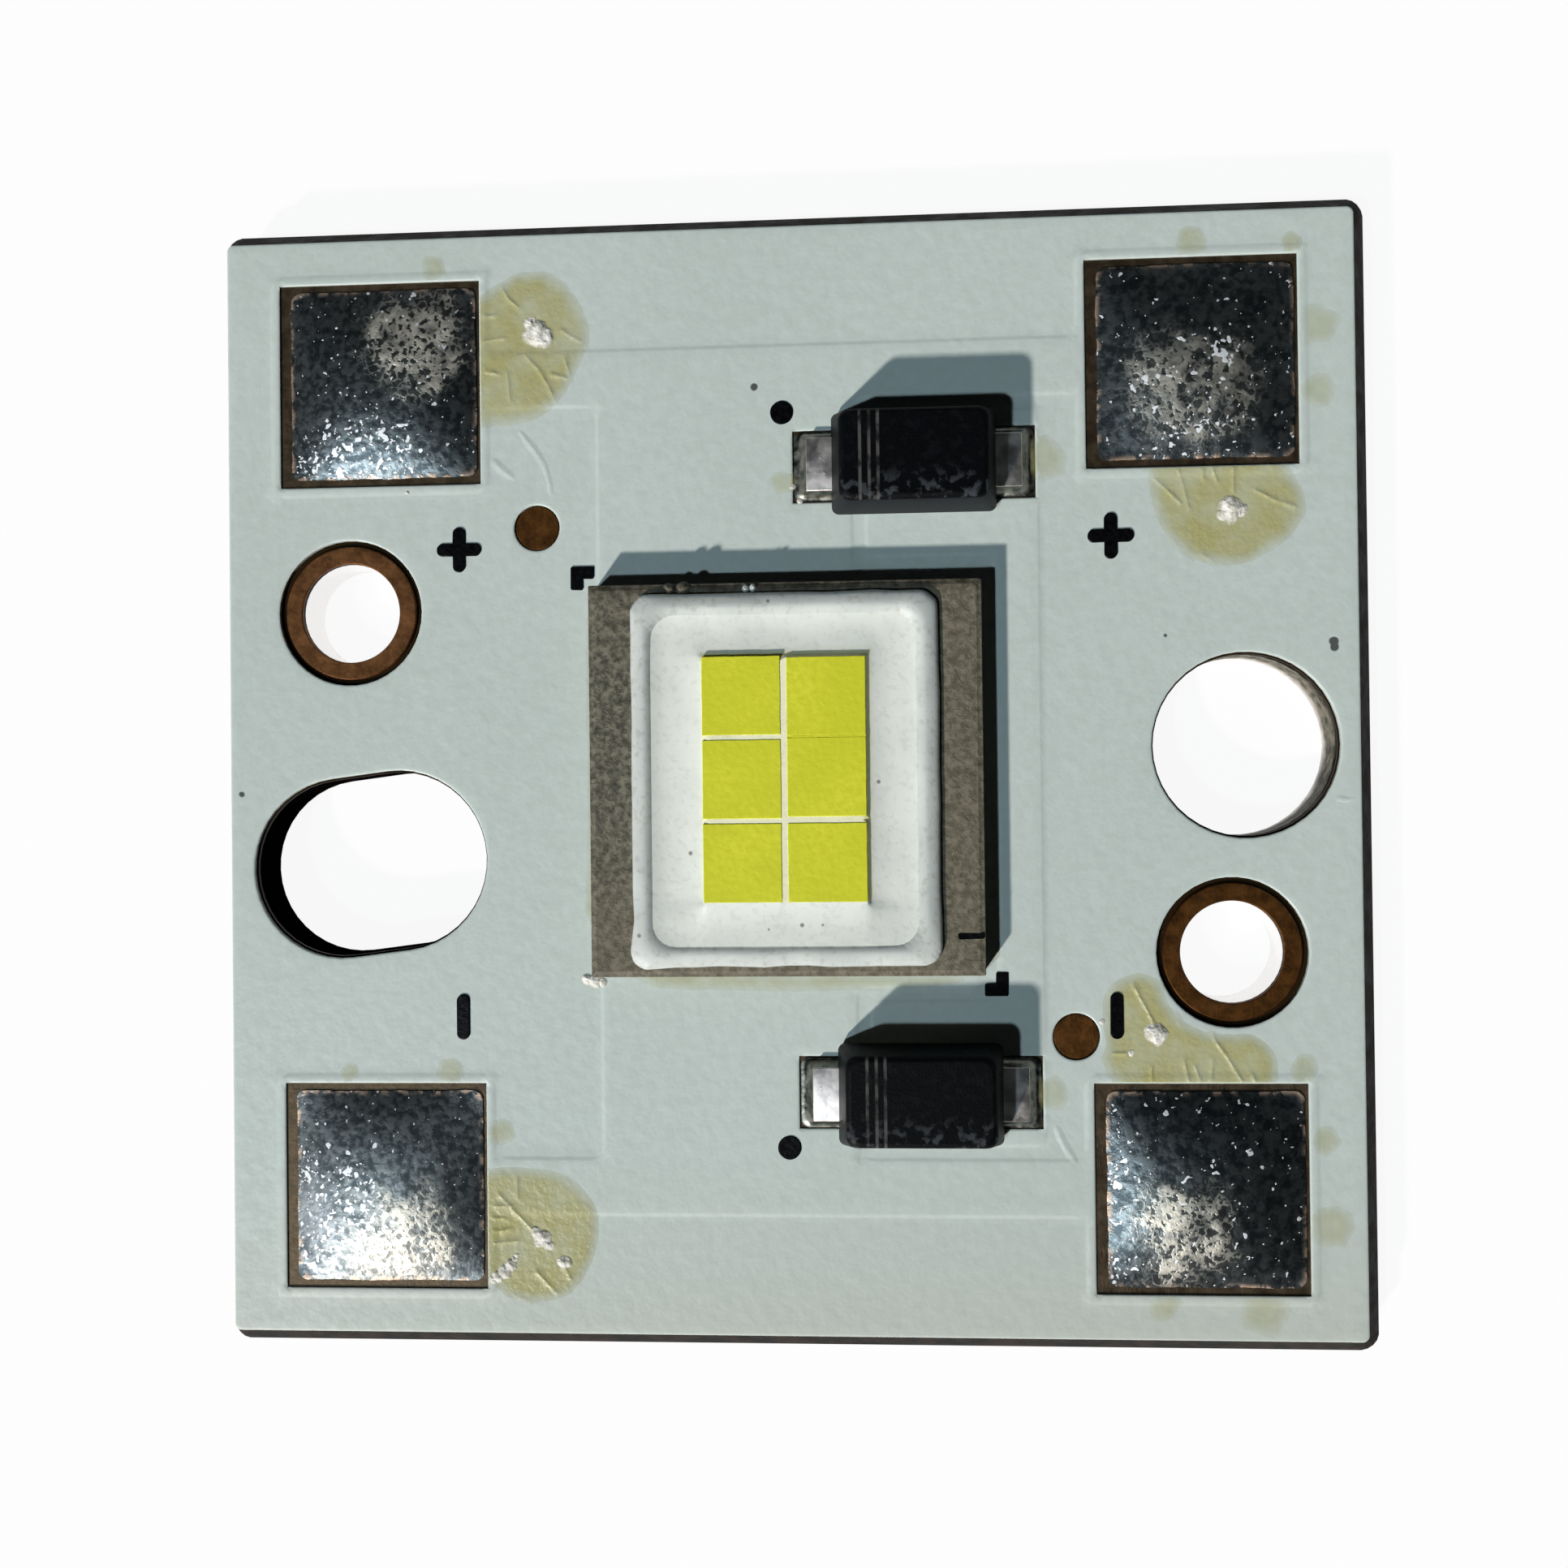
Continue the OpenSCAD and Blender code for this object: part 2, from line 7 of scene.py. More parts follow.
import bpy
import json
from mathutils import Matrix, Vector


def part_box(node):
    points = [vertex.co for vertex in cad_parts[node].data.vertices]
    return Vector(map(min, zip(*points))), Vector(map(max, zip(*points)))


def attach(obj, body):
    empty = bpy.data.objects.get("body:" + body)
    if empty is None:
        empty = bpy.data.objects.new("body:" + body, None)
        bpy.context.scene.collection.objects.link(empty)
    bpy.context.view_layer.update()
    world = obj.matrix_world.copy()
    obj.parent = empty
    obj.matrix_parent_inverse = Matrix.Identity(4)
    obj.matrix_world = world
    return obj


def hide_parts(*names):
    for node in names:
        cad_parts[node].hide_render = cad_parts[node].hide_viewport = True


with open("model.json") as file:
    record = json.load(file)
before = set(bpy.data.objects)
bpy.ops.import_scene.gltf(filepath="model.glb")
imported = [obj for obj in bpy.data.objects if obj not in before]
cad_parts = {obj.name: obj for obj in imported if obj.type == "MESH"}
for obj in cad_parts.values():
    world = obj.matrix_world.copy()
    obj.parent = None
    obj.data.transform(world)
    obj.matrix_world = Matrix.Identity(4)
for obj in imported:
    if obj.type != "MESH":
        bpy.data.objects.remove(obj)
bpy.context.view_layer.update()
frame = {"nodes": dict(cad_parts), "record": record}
print("solids in the frame:", len(frame["nodes"]))

# %% [markdown]
# Blender's own modules build the meshes and the nodes, and numpy does sums on whole lists of points. Sizes
# are written in millimetres and become metres where a mesh is made. The random noise gets a fixed seed,
# because without one it starts from the clock, and no two runs would look the same.

# %% Import the tools
import json
import math

import bmesh
import bpy
import numpy as np
from mathutils import Matrix, Vector, noise
from mathutils.geometry import delaunay_2d_cdt

NOISE_SEED = 7
MM = 0.001

noise.seed_set(NOISE_SEED)
scene = bpy.context.scene
scene.view_settings.view_transform = "Standard"
print("noise seed:", NOISE_SEED)

# %% [markdown]
# The photograph was taken from almost straight above, close up. A long lens would flatten the board, so the
# camera stands where the board's four corners show the same slant: 30 mm above it, a little to the right,
# and turned by a few degrees. The turn is written as one vector, whose length is the angle.

# %% Camera
FRAME_PIXELS = 1932
FOCAL_PIXELS = 2000
CAMERA_PLACE = (2.004, -0.361, 30.06)
CAMERA_TURN = (-0.529, -3.936, 0.664)
SENSOR_WIDTH = 36
NEAREST_SEEN = 1

turn = Vector(CAMERA_TURN)
camera_data = bpy.data.cameras.new("camera")
camera_data.sensor_width = SENSOR_WIDTH
camera_data.lens = SENSOR_WIDTH * FOCAL_PIXELS / FRAME_PIXELS
camera_data.clip_start = NEAREST_SEEN * MM
camera = bpy.data.objects.new("camera", camera_data)
world_to_camera = Matrix.Rotation(math.radians(turn.length), 4, turn.normalized())
camera.matrix_world = Matrix.Translation(Vector(CAMERA_PLACE) * MM) @ world_to_camera.inverted()
scene.collection.objects.link(camera)
scene.camera = camera
print("lens in mm:", round(camera_data.lens, 2))

# %% [markdown]
# Materials are built from many small nodes. Writing out every node and link makes long code, so these
# helpers work like sums on paper: each takes numbers or sockets and gives back the socket of its result.

# %% Helpers for sums of nodes
def put(tree, value, socket):
    """Feed a socket from another socket, or set it to a constant."""
    if isinstance(value, bpy.types.NodeSocket):
        tree.links.new(value, socket)
    else:
        socket.default_value = value


def calc(tree, operation, *values):
    """One sum of numbers or sockets."""
    node = tree.nodes.new("ShaderNodeMath")
    node.operation = operation
    for value, socket in zip(values, node.inputs):
        put(tree, value, socket)
    return node.outputs[0]


def vector_calc(tree, operation, *values):
    """One sum of vectors; the last value may be a plain factor."""
    node = tree.nodes.new("ShaderNodeVectorMath")
    node.operation = operation
    sockets = [node.inputs[0], node.inputs["Scale"] if operation == "SCALE" else node.inputs[1]]
    for value, socket in zip(values, sockets):
        put(tree, value, socket)
    return node.outputs["Value" if operation == "LENGTH" else "Vector"]


print("helpers for sums:", put.__name__, calc.__name__, vector_calc.__name__)

# %% [markdown]
# Most masks end in one of three steps: a soft edge, a number between two limits, or a colour between two
# others. Colours are written as a paint program shows them. Shaders count in linear light, so one helper
# turns the first kind into the second.

# %% Helpers for steps and colours
def smooth(tree, value, low, high):
    """A soft step from 0 at low to 1 at high."""
    node = tree.nodes.new("ShaderNodeMapRange")
    node.interpolation_type = "SMOOTHSTEP"
    put(tree, value, node.inputs["Value"])
    put(tree, low, node.inputs["From Min"])
    put(tree, high, node.inputs["From Max"])
    return node.outputs["Result"]


def between(tree, share, low, high):
    """A number that goes straight from low to high as share goes from 0 to 1."""
    node = tree.nodes.new("ShaderNodeMapRange")
    put(tree, share, node.inputs["Value"])
    put(tree, low, node.inputs["To Min"])
    put(tree, high, node.inputs["To Max"])
    return node.outputs["Result"]


def mix(tree, share, first, second):
    """A colour that goes from first to second as share goes from 0 to 1."""
    node = tree.nodes.new("ShaderNodeMix")
    node.data_type = "RGBA"
    put(tree, share, node.inputs["Factor"])
    put(tree, first, node.inputs[6])
    put(tree, second, node.inputs[7])
    return node.outputs[2]


def tint(red, green, blue):
    """A colour as a paint program gives it, 0 to 255, in the linear values that shaders take."""
    shares = [value / 255 for value in (red, green, blue)]
    linear = [share / 12.92 if share <= 0.04045 else ((share + 0.055) / 1.055) ** 2.4 for share in shares]
    return (*linear, 1.0)


print("white is", tint(255, 255, 255))

# %% [markdown]
# The floor is plain white paper. Lit paper alone would come out grey beside the bright board, so a camera
# ray also sees a steady glow in it; the rest is a matt surface, which keeps the board's shadow.

# %% Floor
FLOOR_SIDE = 2.0
FLOOR_WHITE = (0.9, 0.9, 0.9, 1)
FLOOR_GLOW = 0.93


def seen_directly(tree):
    """1 for rays from the camera, from a mirror or through glass, and 0 for all others."""
    path = tree.nodes.new("ShaderNodeLightPath")
    seen = calc(tree, "MAXIMUM", path.outputs["Is Camera Ray"], path.outputs["Is Glossy Ray"])
    return calc(tree, "MAXIMUM", seen, path.outputs["Is Transmission Ray"])


floor_paper = bpy.data.materials.new("floor_paper")
floor_paper.use_nodes = True
tree = floor_paper.node_tree
tree.nodes.remove(tree.nodes["Principled BSDF"])
matt = tree.nodes.new("ShaderNodeBsdfDiffuse")
matt.inputs["Color"].default_value = FLOOR_WHITE
glow = tree.nodes.new("ShaderNodeEmission")
mixer = tree.nodes.new("ShaderNodeMixShader")
put(tree, calc(tree, "MULTIPLY", seen_directly(tree), FLOOR_GLOW), mixer.inputs["Fac"])
tree.links.new(matt.outputs["BSDF"], mixer.inputs[1])
tree.links.new(glow.outputs["Emission"], mixer.inputs[2])
tree.links.new(mixer.outputs["Shader"], tree.nodes["Material Output"].inputs["Surface"])

half = FLOOR_SIDE / 2
corners = [(-half, -half, 0), (half, -half, 0), (half, half, 0), (-half, half, 0)]
floor_mesh = bpy.data.meshes.new("floor")
floor_mesh.from_pydata(corners, [], [(0, 1, 2, 3)])
floor_mesh.materials.append(floor_paper)
floor = bpy.data.objects.new("floor", floor_mesh)
scene.collection.objects.link(floor)
print("floor side in m:", FLOOR_SIDE)

# %% [markdown]
# Two lamps stand at the lower left: a strong warm one, low, and a weak cool one, higher up. Each throws its
# own shadow to the upper right. The lamps are given by where a point 1 mm high throws its shadow, because
# that is what can be read off a photograph.

# %% Lamps
LIGHT_LEVEL = 0.88
LAMPS = {
    "warm_lamp": {"shadow": (0.87, 1.2), "share": 0.69, "colour": (1.08, 0.99, 0.93)},
    "cool_lamp": {"shadow": (0.5, 0.47), "share": 0.29, "colour": (0.82, 1.02, 1.16)},
}
LAMP_WIDTH = math.radians(3)

for name, lamp in LAMPS.items():
    to_lamp = Vector((-lamp["shadow"][0], -lamp["shadow"][1], 1)).normalized()
    data = bpy.data.lights.new(name, "SUN")
    data.energy = math.pi * LIGHT_LEVEL * lamp["share"] / to_lamp.z
    data.color = lamp["colour"]
    data.angle = LAMP_WIDTH
    sun = bpy.data.objects.new(name, data)
    sun.rotation_euler = to_lamp.to_track_quat("Z", "Y").to_euler()
    scene.collection.objects.link(sun)
    print(name, "strength", round(data.energy, 2))

# %% [markdown]
# The solder is a mirror that looks up, and it shows a dark sky. So the room is pale at eye level and dark
# overhead. A picture of a real room could be wrapped round the scene, but two colours with a soft step
# between them are enough. The camera itself sees plain white, and the room lights the part only weakly, so
# that the lamps' shadows stay deep.

# %% Room
ROOM_WALL = (0.95, 0.96, 0.97, 1)
ROOM_CEILING = (0.013, 0.017, 0.019, 1)
WALL_END = 0.05
CEILING_START = 0.4
BACKDROP = (1, 1, 1, 1)
ROOM_FILL = 0.1

world = bpy.data.worlds.new("room")
scene.world = world
world.use_nodes = True
tree = world.node_tree
direction = tree.nodes.new("ShaderNodeTexCoord")
parts = tree.nodes.new("ShaderNodeSeparateXYZ")
tree.links.new(direction.outputs["Generated"], parts.inputs["Vector"])
room = tree.nodes["Background"]
overhead = smooth(tree, parts.outputs["Z"], WALL_END, CEILING_START)
walls = mix(tree, overhead, ROOM_WALL, ROOM_CEILING)
path = tree.nodes.new("ShaderNodeLightPath")
put(tree, mix(tree, path.outputs["Is Camera Ray"], walls, BACKDROP), room.inputs["Color"])
put(tree, between(tree, seen_directly(tree), ROOM_FILL, 1.0), room.inputs["Strength"])
print("light from the room:", ROOM_FILL)

# %% [markdown]
# Grain, specks, scratches and patches show up in many finishes. Each is built once here as a node group
# with named inputs, and then placed in every material with its own values. Sizes are in millimetres, and
# the pattern follows the object's own coordinates, so it stays put whichever way the part is seen.

# %% Helpers for node groups
def new_group(name, inputs):
    """An empty shader node group with number inputs and one number output, the mask."""
    tree = bpy.data.node_groups.new(name, "ShaderNodeTree")
    for title, value in inputs.items():
        socket = tree.interface.new_socket(title, in_out="INPUT", socket_type="NodeSocketFloat")
        socket.default_value = value
    tree.interface.new_socket("Mask", in_out="OUTPUT", socket_type="NodeSocketFloat")
    given = tree.nodes.new("NodeGroupInput").outputs
    result = tree.nodes.new("NodeGroupOutput").inputs["Mask"]
    return tree, given, result


def object_mm(tree):
    """The place on the surface, in millimetres."""
    place = tree.nodes.new("ShaderNodeTexCoord").outputs["Object"]
    return vector_calc(tree, "SCALE", place, 1 / MM)


def noise_value(tree, place, seed, detail):
    """Soft random values round 0.5."""
    node = tree.nodes.new("ShaderNodeTexNoise")
    node.noise_dimensions = "4D"
    node.inputs["Scale"].default_value = 1
    put(tree, detail, node.inputs["Detail"])
    put(tree, place, node.inputs["Vector"])
    put(tree, seed, node.inputs["W"])
    return node.outputs["Fac"]


def use(tree, group, **values):
    """Place a group in a material and give back its mask."""
    node = tree.nodes.new("ShaderNodeGroup")
    node.node_tree = group
    for title, value in values.items():
        put(tree, value, node.inputs[title])
    return node.outputs["Mask"]


def shrunk(tree, place, size):
    """A place measured in steps of a pattern's size."""
    return vector_calc(tree, "SCALE", place, calc(tree, "DIVIDE", 1, size))


print("patterns are measured in steps of", MM, "m")

# %% [markdown]
# Nothing real has quite one tone: coatings are blotchy and ground metal is grainy. A cloud is soft noise
# between two limits. Limits close together give patches, and limits far apart a gentle grain. A picture of
# grain could do the same, but noise never repeats and needs no file.

# %% Group: cloud, for soft grain and mottling
CLOUD, given, result = new_group("cloud", {"Size": 1, "Low": 0.3, "High": 0.7, "Detail": 2, "Seed": 0})
scaled = shrunk(CLOUD, object_mm(CLOUD), given["Size"])
value = noise_value(CLOUD, scaled, given["Seed"], given["Detail"])
put(CLOUD, smooth(CLOUD, value, given["Low"], given["High"]), result)
print("group:", CLOUD.name)

# %% [markdown]
# Dust, pits and grains of filler are small spots that don't touch. Each cell of a Voronoi pattern can hold
# one. The cell's random colour decides whether it does, and a little noise makes the spot's edge ragged.
# Scattered meshes would do too, but there are thousands of spots.

# %% Group: specks, for scattered spots of uneven size
SPOT_NOISE_SCALE = 2.5
SPOT_RAGGED = 0.35
SPOT_CORE = 0.8

SPECKS, given, result = new_group("specks", {"Size": 1, "Cover": 0.3, "Radius": 0.3, "Seed": 0})
scaled = shrunk(SPECKS, object_mm(SPECKS), given["Size"])
ragged = noise_value(SPECKS, vector_calc(SPECKS, "SCALE", scaled, SPOT_NOISE_SCALE), given["Seed"], 1)
cells = SPECKS.nodes.new("ShaderNodeTexVoronoi")
cells.voronoi_dimensions = "4D"
cells.inputs["Scale"].default_value = 1
put(SPECKS, scaled, cells.inputs["Vector"])
put(SPECKS, given["Seed"], cells.inputs["W"])
chance = SPECKS.nodes.new("ShaderNodeSeparateColor")
SPECKS.links.new(cells.outputs["Color"], chance.inputs["Color"])
present = calc(SPECKS, "LESS_THAN", chance.outputs["Red"], given["Cover"])
distance = calc(SPECKS, "ADD", cells.outputs["Distance"], calc(SPECKS, "MULTIPLY", ragged, SPOT_RAGGED))
reach = calc(SPECKS, "ADD", given["Radius"], SPOT_RAGGED / 2)
inner = calc(SPECKS, "MULTIPLY", reach, SPOT_CORE)
spot = calc(SPECKS, "SUBTRACT", 1, smooth(SPECKS, distance, inner, reach))
put(SPECKS, calc(SPECKS, "MULTIPLY", spot, present), result)
print("group:", SPECKS.name)

# %% [markdown]
# Handling leaves fine scratches that run mostly one way and break off. Noise that is squeezed in one
# direction has long streaks. A thin line is drawn where the noise passes its middle value, and a second
# noise breaks the line up.

# %% Group: scratches, for thin broken lines in one direction
BREAK_SCALE = 1.5
BREAK_EDGE = 0.15

SCRATCHES, given, result = new_group(
    "scratches", {"Size": 1, "Stretch": 20, "Angle": 0, "Width": 0.05, "Low": 0.45, "Seed": 0})
turned = SCRATCHES.nodes.new("ShaderNodeVectorRotate")
turned.rotation_type = "Z_AXIS"
put(SCRATCHES, object_mm(SCRATCHES), turned.inputs["Vector"])
put(SCRATCHES, given["Angle"], turned.inputs["Angle"])
scaled = shrunk(SCRATCHES, turned.outputs["Vector"], given["Size"])
stretch = SCRATCHES.nodes.new("ShaderNodeCombineXYZ")
stretch.inputs["X"].default_value = 1
put(SCRATCHES, given["Stretch"], stretch.inputs["Y"])
stretch.inputs["Z"].default_value = 1
squeezed = vector_calc(SCRATCHES, "MULTIPLY", scaled, stretch.outputs["Vector"])
streaks = noise_value(SCRATCHES, squeezed, given["Seed"], 1)
apart = calc(SCRATCHES, "ABSOLUTE", calc(SCRATCHES, "SUBTRACT", streaks, 0.5))
line = calc(SCRATCHES, "SUBTRACT", 1, smooth(SCRATCHES, apart, 0, given["Width"]))
patches = noise_value(SCRATCHES, vector_calc(SCRATCHES, "SCALE", scaled, BREAK_SCALE), given["Seed"], 2)
broken = smooth(SCRATCHES, patches, given["Low"], calc(SCRATCHES, "ADD", given["Low"], BREAK_EDGE))
put(SCRATCHES, calc(SCRATCHES, "MULTIPLY", line, broken), result)
print("group:", SCRATCHES.name)

# %% [markdown]
# Some marks belong at one place: a chip, a stain, a frosted patch. They could be painted into a picture,
# but an area that is given by its centre and radius stays sharp and moves when two numbers change. Noise is
# added to the distance from the centre, which makes the edge ragged.

# %% Group: area, for a ragged round patch at one place
AREA_NOISE_SCALE = 1.6

AREA, given, result = new_group("area", {"X": 0, "Y": 0, "Radius": 1, "Soft": 0.3, "Ragged": 0.5, "Seed": 0})
centre = AREA.nodes.new("ShaderNodeCombineXYZ")
put(AREA, given["X"], centre.inputs["X"])
put(AREA, given["Y"], centre.inputs["Y"])
here = object_mm(AREA)
flat = vector_calc(AREA, "MULTIPLY", vector_calc(AREA, "SUBTRACT", here, centre.outputs["Vector"]), (1, 1, 0))
rough = noise_value(AREA, vector_calc(AREA, "SCALE", here, AREA_NOISE_SCALE), given["Seed"], 3)
ragged = calc(AREA, "SUBTRACT", rough, 0.5)
away = calc(AREA, "ADD", vector_calc(AREA, "LENGTH", flat), calc(AREA, "MULTIPLY", ragged, given["Ragged"]))
inner = calc(AREA, "SUBTRACT", given["Radius"], given["Soft"])
outer = calc(AREA, "ADD", given["Radius"], given["Soft"])
put(AREA, calc(AREA, "SUBTRACT", 1, smooth(AREA, away, inner, outer)), result)
print("group:", AREA.name)

# %% [markdown]
# Every finish is one Principled shader. What is the same all over is set on the shader itself, and what
# changes over the surface comes from the groups. These helpers make a material, add masks up, raise small
# bumps and tell where on the part a point of the surface lies.

# %% Helpers for materials
def new_material(name, **constants):
    """A material with one main shader; each constant is the shader's own value."""
    material = bpy.data.materials.new(name)
    material.use_nodes = True
    inputs = material.node_tree.nodes["Principled BSDF"].inputs
    for title, value in constants.items():
        inputs[title.replace("_", " ")].default_value = value
    return material, material.node_tree, inputs


def bump(tree, height, depth, inputs):
    """Raise the surface by depth, in millimetres, where height is 1."""
    node = tree.nodes.new("ShaderNodeBump")
    node.inputs["Distance"].default_value = depth * MM
    put(tree, height, node.inputs["Height"])
    tree.links.new(node.outputs["Normal"], inputs["Normal"])


def weighted(tree, *pairs):
    """The sum of masks, each times its weight."""
    total = 0.0
    for mask, weight in pairs:
        total = calc(tree, "MULTIPLY_ADD", mask, weight, total)
    return total


def place_parts(tree):
    """The place on the surface as three numbers, X, Y and Z, in millimetres."""
    node = tree.nodes.new("ShaderNodeSeparateXYZ")
    tree.links.new(object_mm(tree), node.inputs["Vector"])
    return node.outputs


print("groups to use:", CLOUD.name, SPECKS.name, SCRATCHES.name, AREA.name)

# %% [markdown]
# The board's coating is a pale green-white epoxy, a little glossy. Seen close it has an orange-peel
# surface, slow changes of tone, dark specks of dust baked in and a few chips, and it has yellowed along the
# lower side. A flat colour would look like plastic, so several masks are laid over each other.

# %% Finish: pale coating
CHIPS = [(9.66, 2.3, 0.06), (9.67, 2.2, 0.05), (6.76, 2.45, 0.04), (-0.43, 7.03, 0.05), (-9.9, -0.15, 0.05)]
YELLOW_FROM = -10.5
YELLOW_TO = -6.0


def patches_mask(tree, areas, soft, ragged, seed):
    """The sum of some ragged patches, each given as x, y and radius."""
    total = 0.0
    for x, y, radius in areas:
        patch = use(tree, AREA, X=x, Y=y, Radius=radius, Soft=soft, Ragged=ragged, Seed=seed)
        total = calc(tree, "MAXIMUM", total, patch)
    return total


def coating_finish():
    material, tree, inputs = new_material("pale_coating", Specular_IOR_Level=0.3)
    tone = use(tree, CLOUD, Size=4.5, Low=0.25, High=0.75, Detail=3)
    grain = use(tree, CLOUD, Size=0.16, Low=0.2, High=0.8, Detail=3, Seed=3)
    dust = use(tree, SPECKS, Size=0.5, Cover=0.05, Radius=0.05, Seed=7)
    aged = calc(tree, "SUBTRACT", 1, smooth(tree, place_parts(tree)["Y"], YELLOW_FROM, YELLOW_TO))
    clean = mix(tree, tone, tint(193, 206, 201), tint(198, 210, 206))
    yellowed = mix(tree, calc(tree, "MULTIPLY", aged, 0.6), clean, tint(190, 195, 184))
    grainy = mix(tree, calc(tree, "MULTIPLY", grain, 0.32), yellowed, tint(172, 182, 176))
    dirty = mix(tree, calc(tree, "MULTIPLY", dust, 0.5), grainy, tint(96, 98, 92))
    chips = patches_mask(tree, CHIPS, soft=0.015, ragged=0.15, seed=1)
    put(tree, mix(tree, calc(tree, "MULTIPLY", chips, 0.9), dirty, tint(48, 52, 49)), inputs["Base Color"])
    put(tree, between(tree, grain, 0.36, 0.46), inputs["Roughness"])
    peel = use(tree, CLOUD, Size=0.3, Low=0.2, High=0.8, Detail=2, Seed=11)
    bump(tree, weighted(tree, (peel, 0.6), (grain, 0.4), (chips, -0.8)), 0.006, inputs)
    return material


pale_coating = coating_finish()
print("finish:", pale_coating.name)

# %% [markdown]
# Bare copper on an old board isn't bright: a brown film of oxide and preservative lies on it. Round the
# tinned pads it is stained grey by tin, one ring is redder than the other, and the plate's own faces show
# more of the metal. All are metal with mottled colour, so one function makes them. The plate's broken edge
# is no longer bare: it is dark and dull with resin.

# %% Finishes: copper and the broken edge
def copper_finish(name, dark, light, roughness):
    material, tree, inputs = new_material(name, Metallic=0.85)
    patches = use(tree, CLOUD, Size=0.28, Low=0.3, High=0.7, Detail=4, Seed=5)
    grain = use(tree, CLOUD, Size=0.07, Low=0.25, High=0.75, Detail=2, Seed=9)
    marks = use(tree, SCRATCHES, Size=0.8, Stretch=14, Angle=1.5, Width=0.05, Low=0.45, Seed=2)
    tone = weighted(tree, (patches, 0.6), (grain, 0.4))
    put(tree, mix(tree, tone, dark, light), inputs["Base Color"])
    put(tree, between(tree, patches, roughness, roughness + 0.12), inputs["Roughness"])
    bump(tree, weighted(tree, (grain, 0.5), (marks, 0.4)), 0.003, inputs)
    return material


def edge_finish():
    material, tree, inputs = new_material("dark_edge", Specular_IOR_Level=0.1)
    resin = use(tree, CLOUD, Size=0.3, Low=0.3, High=0.7, Detail=4, Seed=13)
    put(tree, mix(tree, resin, tint(20, 22, 20), tint(52, 46, 42)), inputs["Base Color"])
    put(tree, between(tree, resin, 0.5, 0.7), inputs["Roughness"])
    bump(tree, resin, 0.01, inputs)
    return material


brown_copper = copper_finish("brown_copper", tint(58, 33, 6), tint(102, 65, 26), roughness=0.5)
red_copper = copper_finish("red_copper", tint(78, 48, 22), tint(126, 86, 52), roughness=0.5)
stained_copper = copper_finish("stained_copper", tint(60, 50, 38), tint(92, 78, 60), roughness=0.45)
plain_copper = copper_finish("plain_copper", tint(104, 76, 56), tint(176, 134, 104), roughness=0.38)
dark_edge = edge_finish()
print("finishes:", brown_copper.name, red_copper.name, stained_copper.name, plain_copper.name, dark_edge.name)

# %% [markdown]
# The cut walls of the plate differ. The two locating holes were drilled clean and mirror the floor. The
# slot and the outside are painted black and don't shine at all: painted shade with some tarnish, so that
# walls which the lamps don't reach stay dark, though the floor's light would reach them. The screw hole
# lies between: bright at the floor, dull and stained above it, and painted black at the top, the same
# painted shade. Three materials would need the walls to be told apart by face, so one material asks where
# it is: the frame's record says where each hole lies.

# %% Finish: cut walls
HOLE_MARGIN = 0.15
HOLE_SOFT = 0.1

bores = {mount["name"]: mount for mount in frame["record"]["mounts"] if mount["kind"] == "bore"}


def hole_mask(tree, name):
    """1 on the wall of one hole of the record, and 0 away from it."""
    x, y, _ = (value / MM for value in bores[name]["pos_m"])
    radius = bores[name]["dims"]["r_mm"] + HOLE_MARGIN
    return use(tree, AREA, X=x, Y=y, Radius=radius, Soft=HOLE_SOFT, Ragged=0.0)


def wall_finish():
    material, tree, inputs = new_material("cut_wall", Specular_IOR_Level=0.0)
    ragged = use(tree, CLOUD, Size=0.35, Low=0.2, High=0.8, Detail=3, Seed=5)
    left_hole = hole_mask(tree, "left_locating_hole")
    right_hole = hole_mask(tree, "right_locating_hole")
    drilled = calc(tree, "MAXIMUM", left_hole, right_hole)
    screw = hole_mask(tree, "screw_hole")
    up = calc(tree, "MULTIPLY_ADD", ragged, 0.2, place_parts(tree)["Z"])
    start = between(tree, drilled, between(tree, screw, -0.5, 0.85), 1.15)
    # tarnish_and_shade: painted shade with some tarnish, the black of the slot, the outside and the screw
    # hole's top
    tarnish_and_shade = smooth(tree, up, start, calc(tree, "ADD", start, 0.25))
    dulled = calc(tree, "MULTIPLY", screw, smooth(tree, up, -0.1, 0.5))
    streaks = use(tree, CLOUD, Size=0.17, Low=0.35, High=0.65, Detail=3, Seed=6)
    stain = mix(tree, streaks, tint(66, 64, 55), tint(124, 120, 104))
    metal = mix(tree, drilled, tint(240, 232, 224), tint(254, 252, 250))
    worn = mix(tree, dulled, metal, stain)
    put(tree, mix(tree, tarnish_and_shade, worn, tint(9, 8, 7)), inputs["Base Color"])
    put(tree, between(tree, tarnish_and_shade, 0.2, 0.6), inputs["Roughness"])
    dirty = calc(tree, "MAXIMUM", tarnish_and_shade, calc(tree, "MULTIPLY", dulled, 0.8))
    put(tree, between(tree, dirty, 0.9, 0.0), inputs["Metallic"])
    bump(tree, ragged, 0.01, inputs)
    return material


cut_wall = wall_finish()
print("finish:", cut_wall.name, "for the holes", list(bores))

# %% [markdown]
# The insulating layer is a dark filled resin that shows only as a line round the copper rings and along the
# board's edge. The printed ink is a plain black epoxy, smoother than the coating. Neither shines much, so a
# low specular level and a fine grain are all they need.

# %% Finishes: insulation and ink
def resin_finish():
    material, tree, inputs = new_material("dark_insulation", Specular_IOR_Level=0.05)
    filler = use(tree, SPECKS, Size=0.06, Cover=0.6, Radius=0.3, Seed=4)
    put(tree, mix(tree, filler, tint(34, 23, 9), tint(58, 41, 20)), inputs["Base Color"])
    put(tree, between(tree, filler, 0.5, 0.7), inputs["Roughness"])
    return material


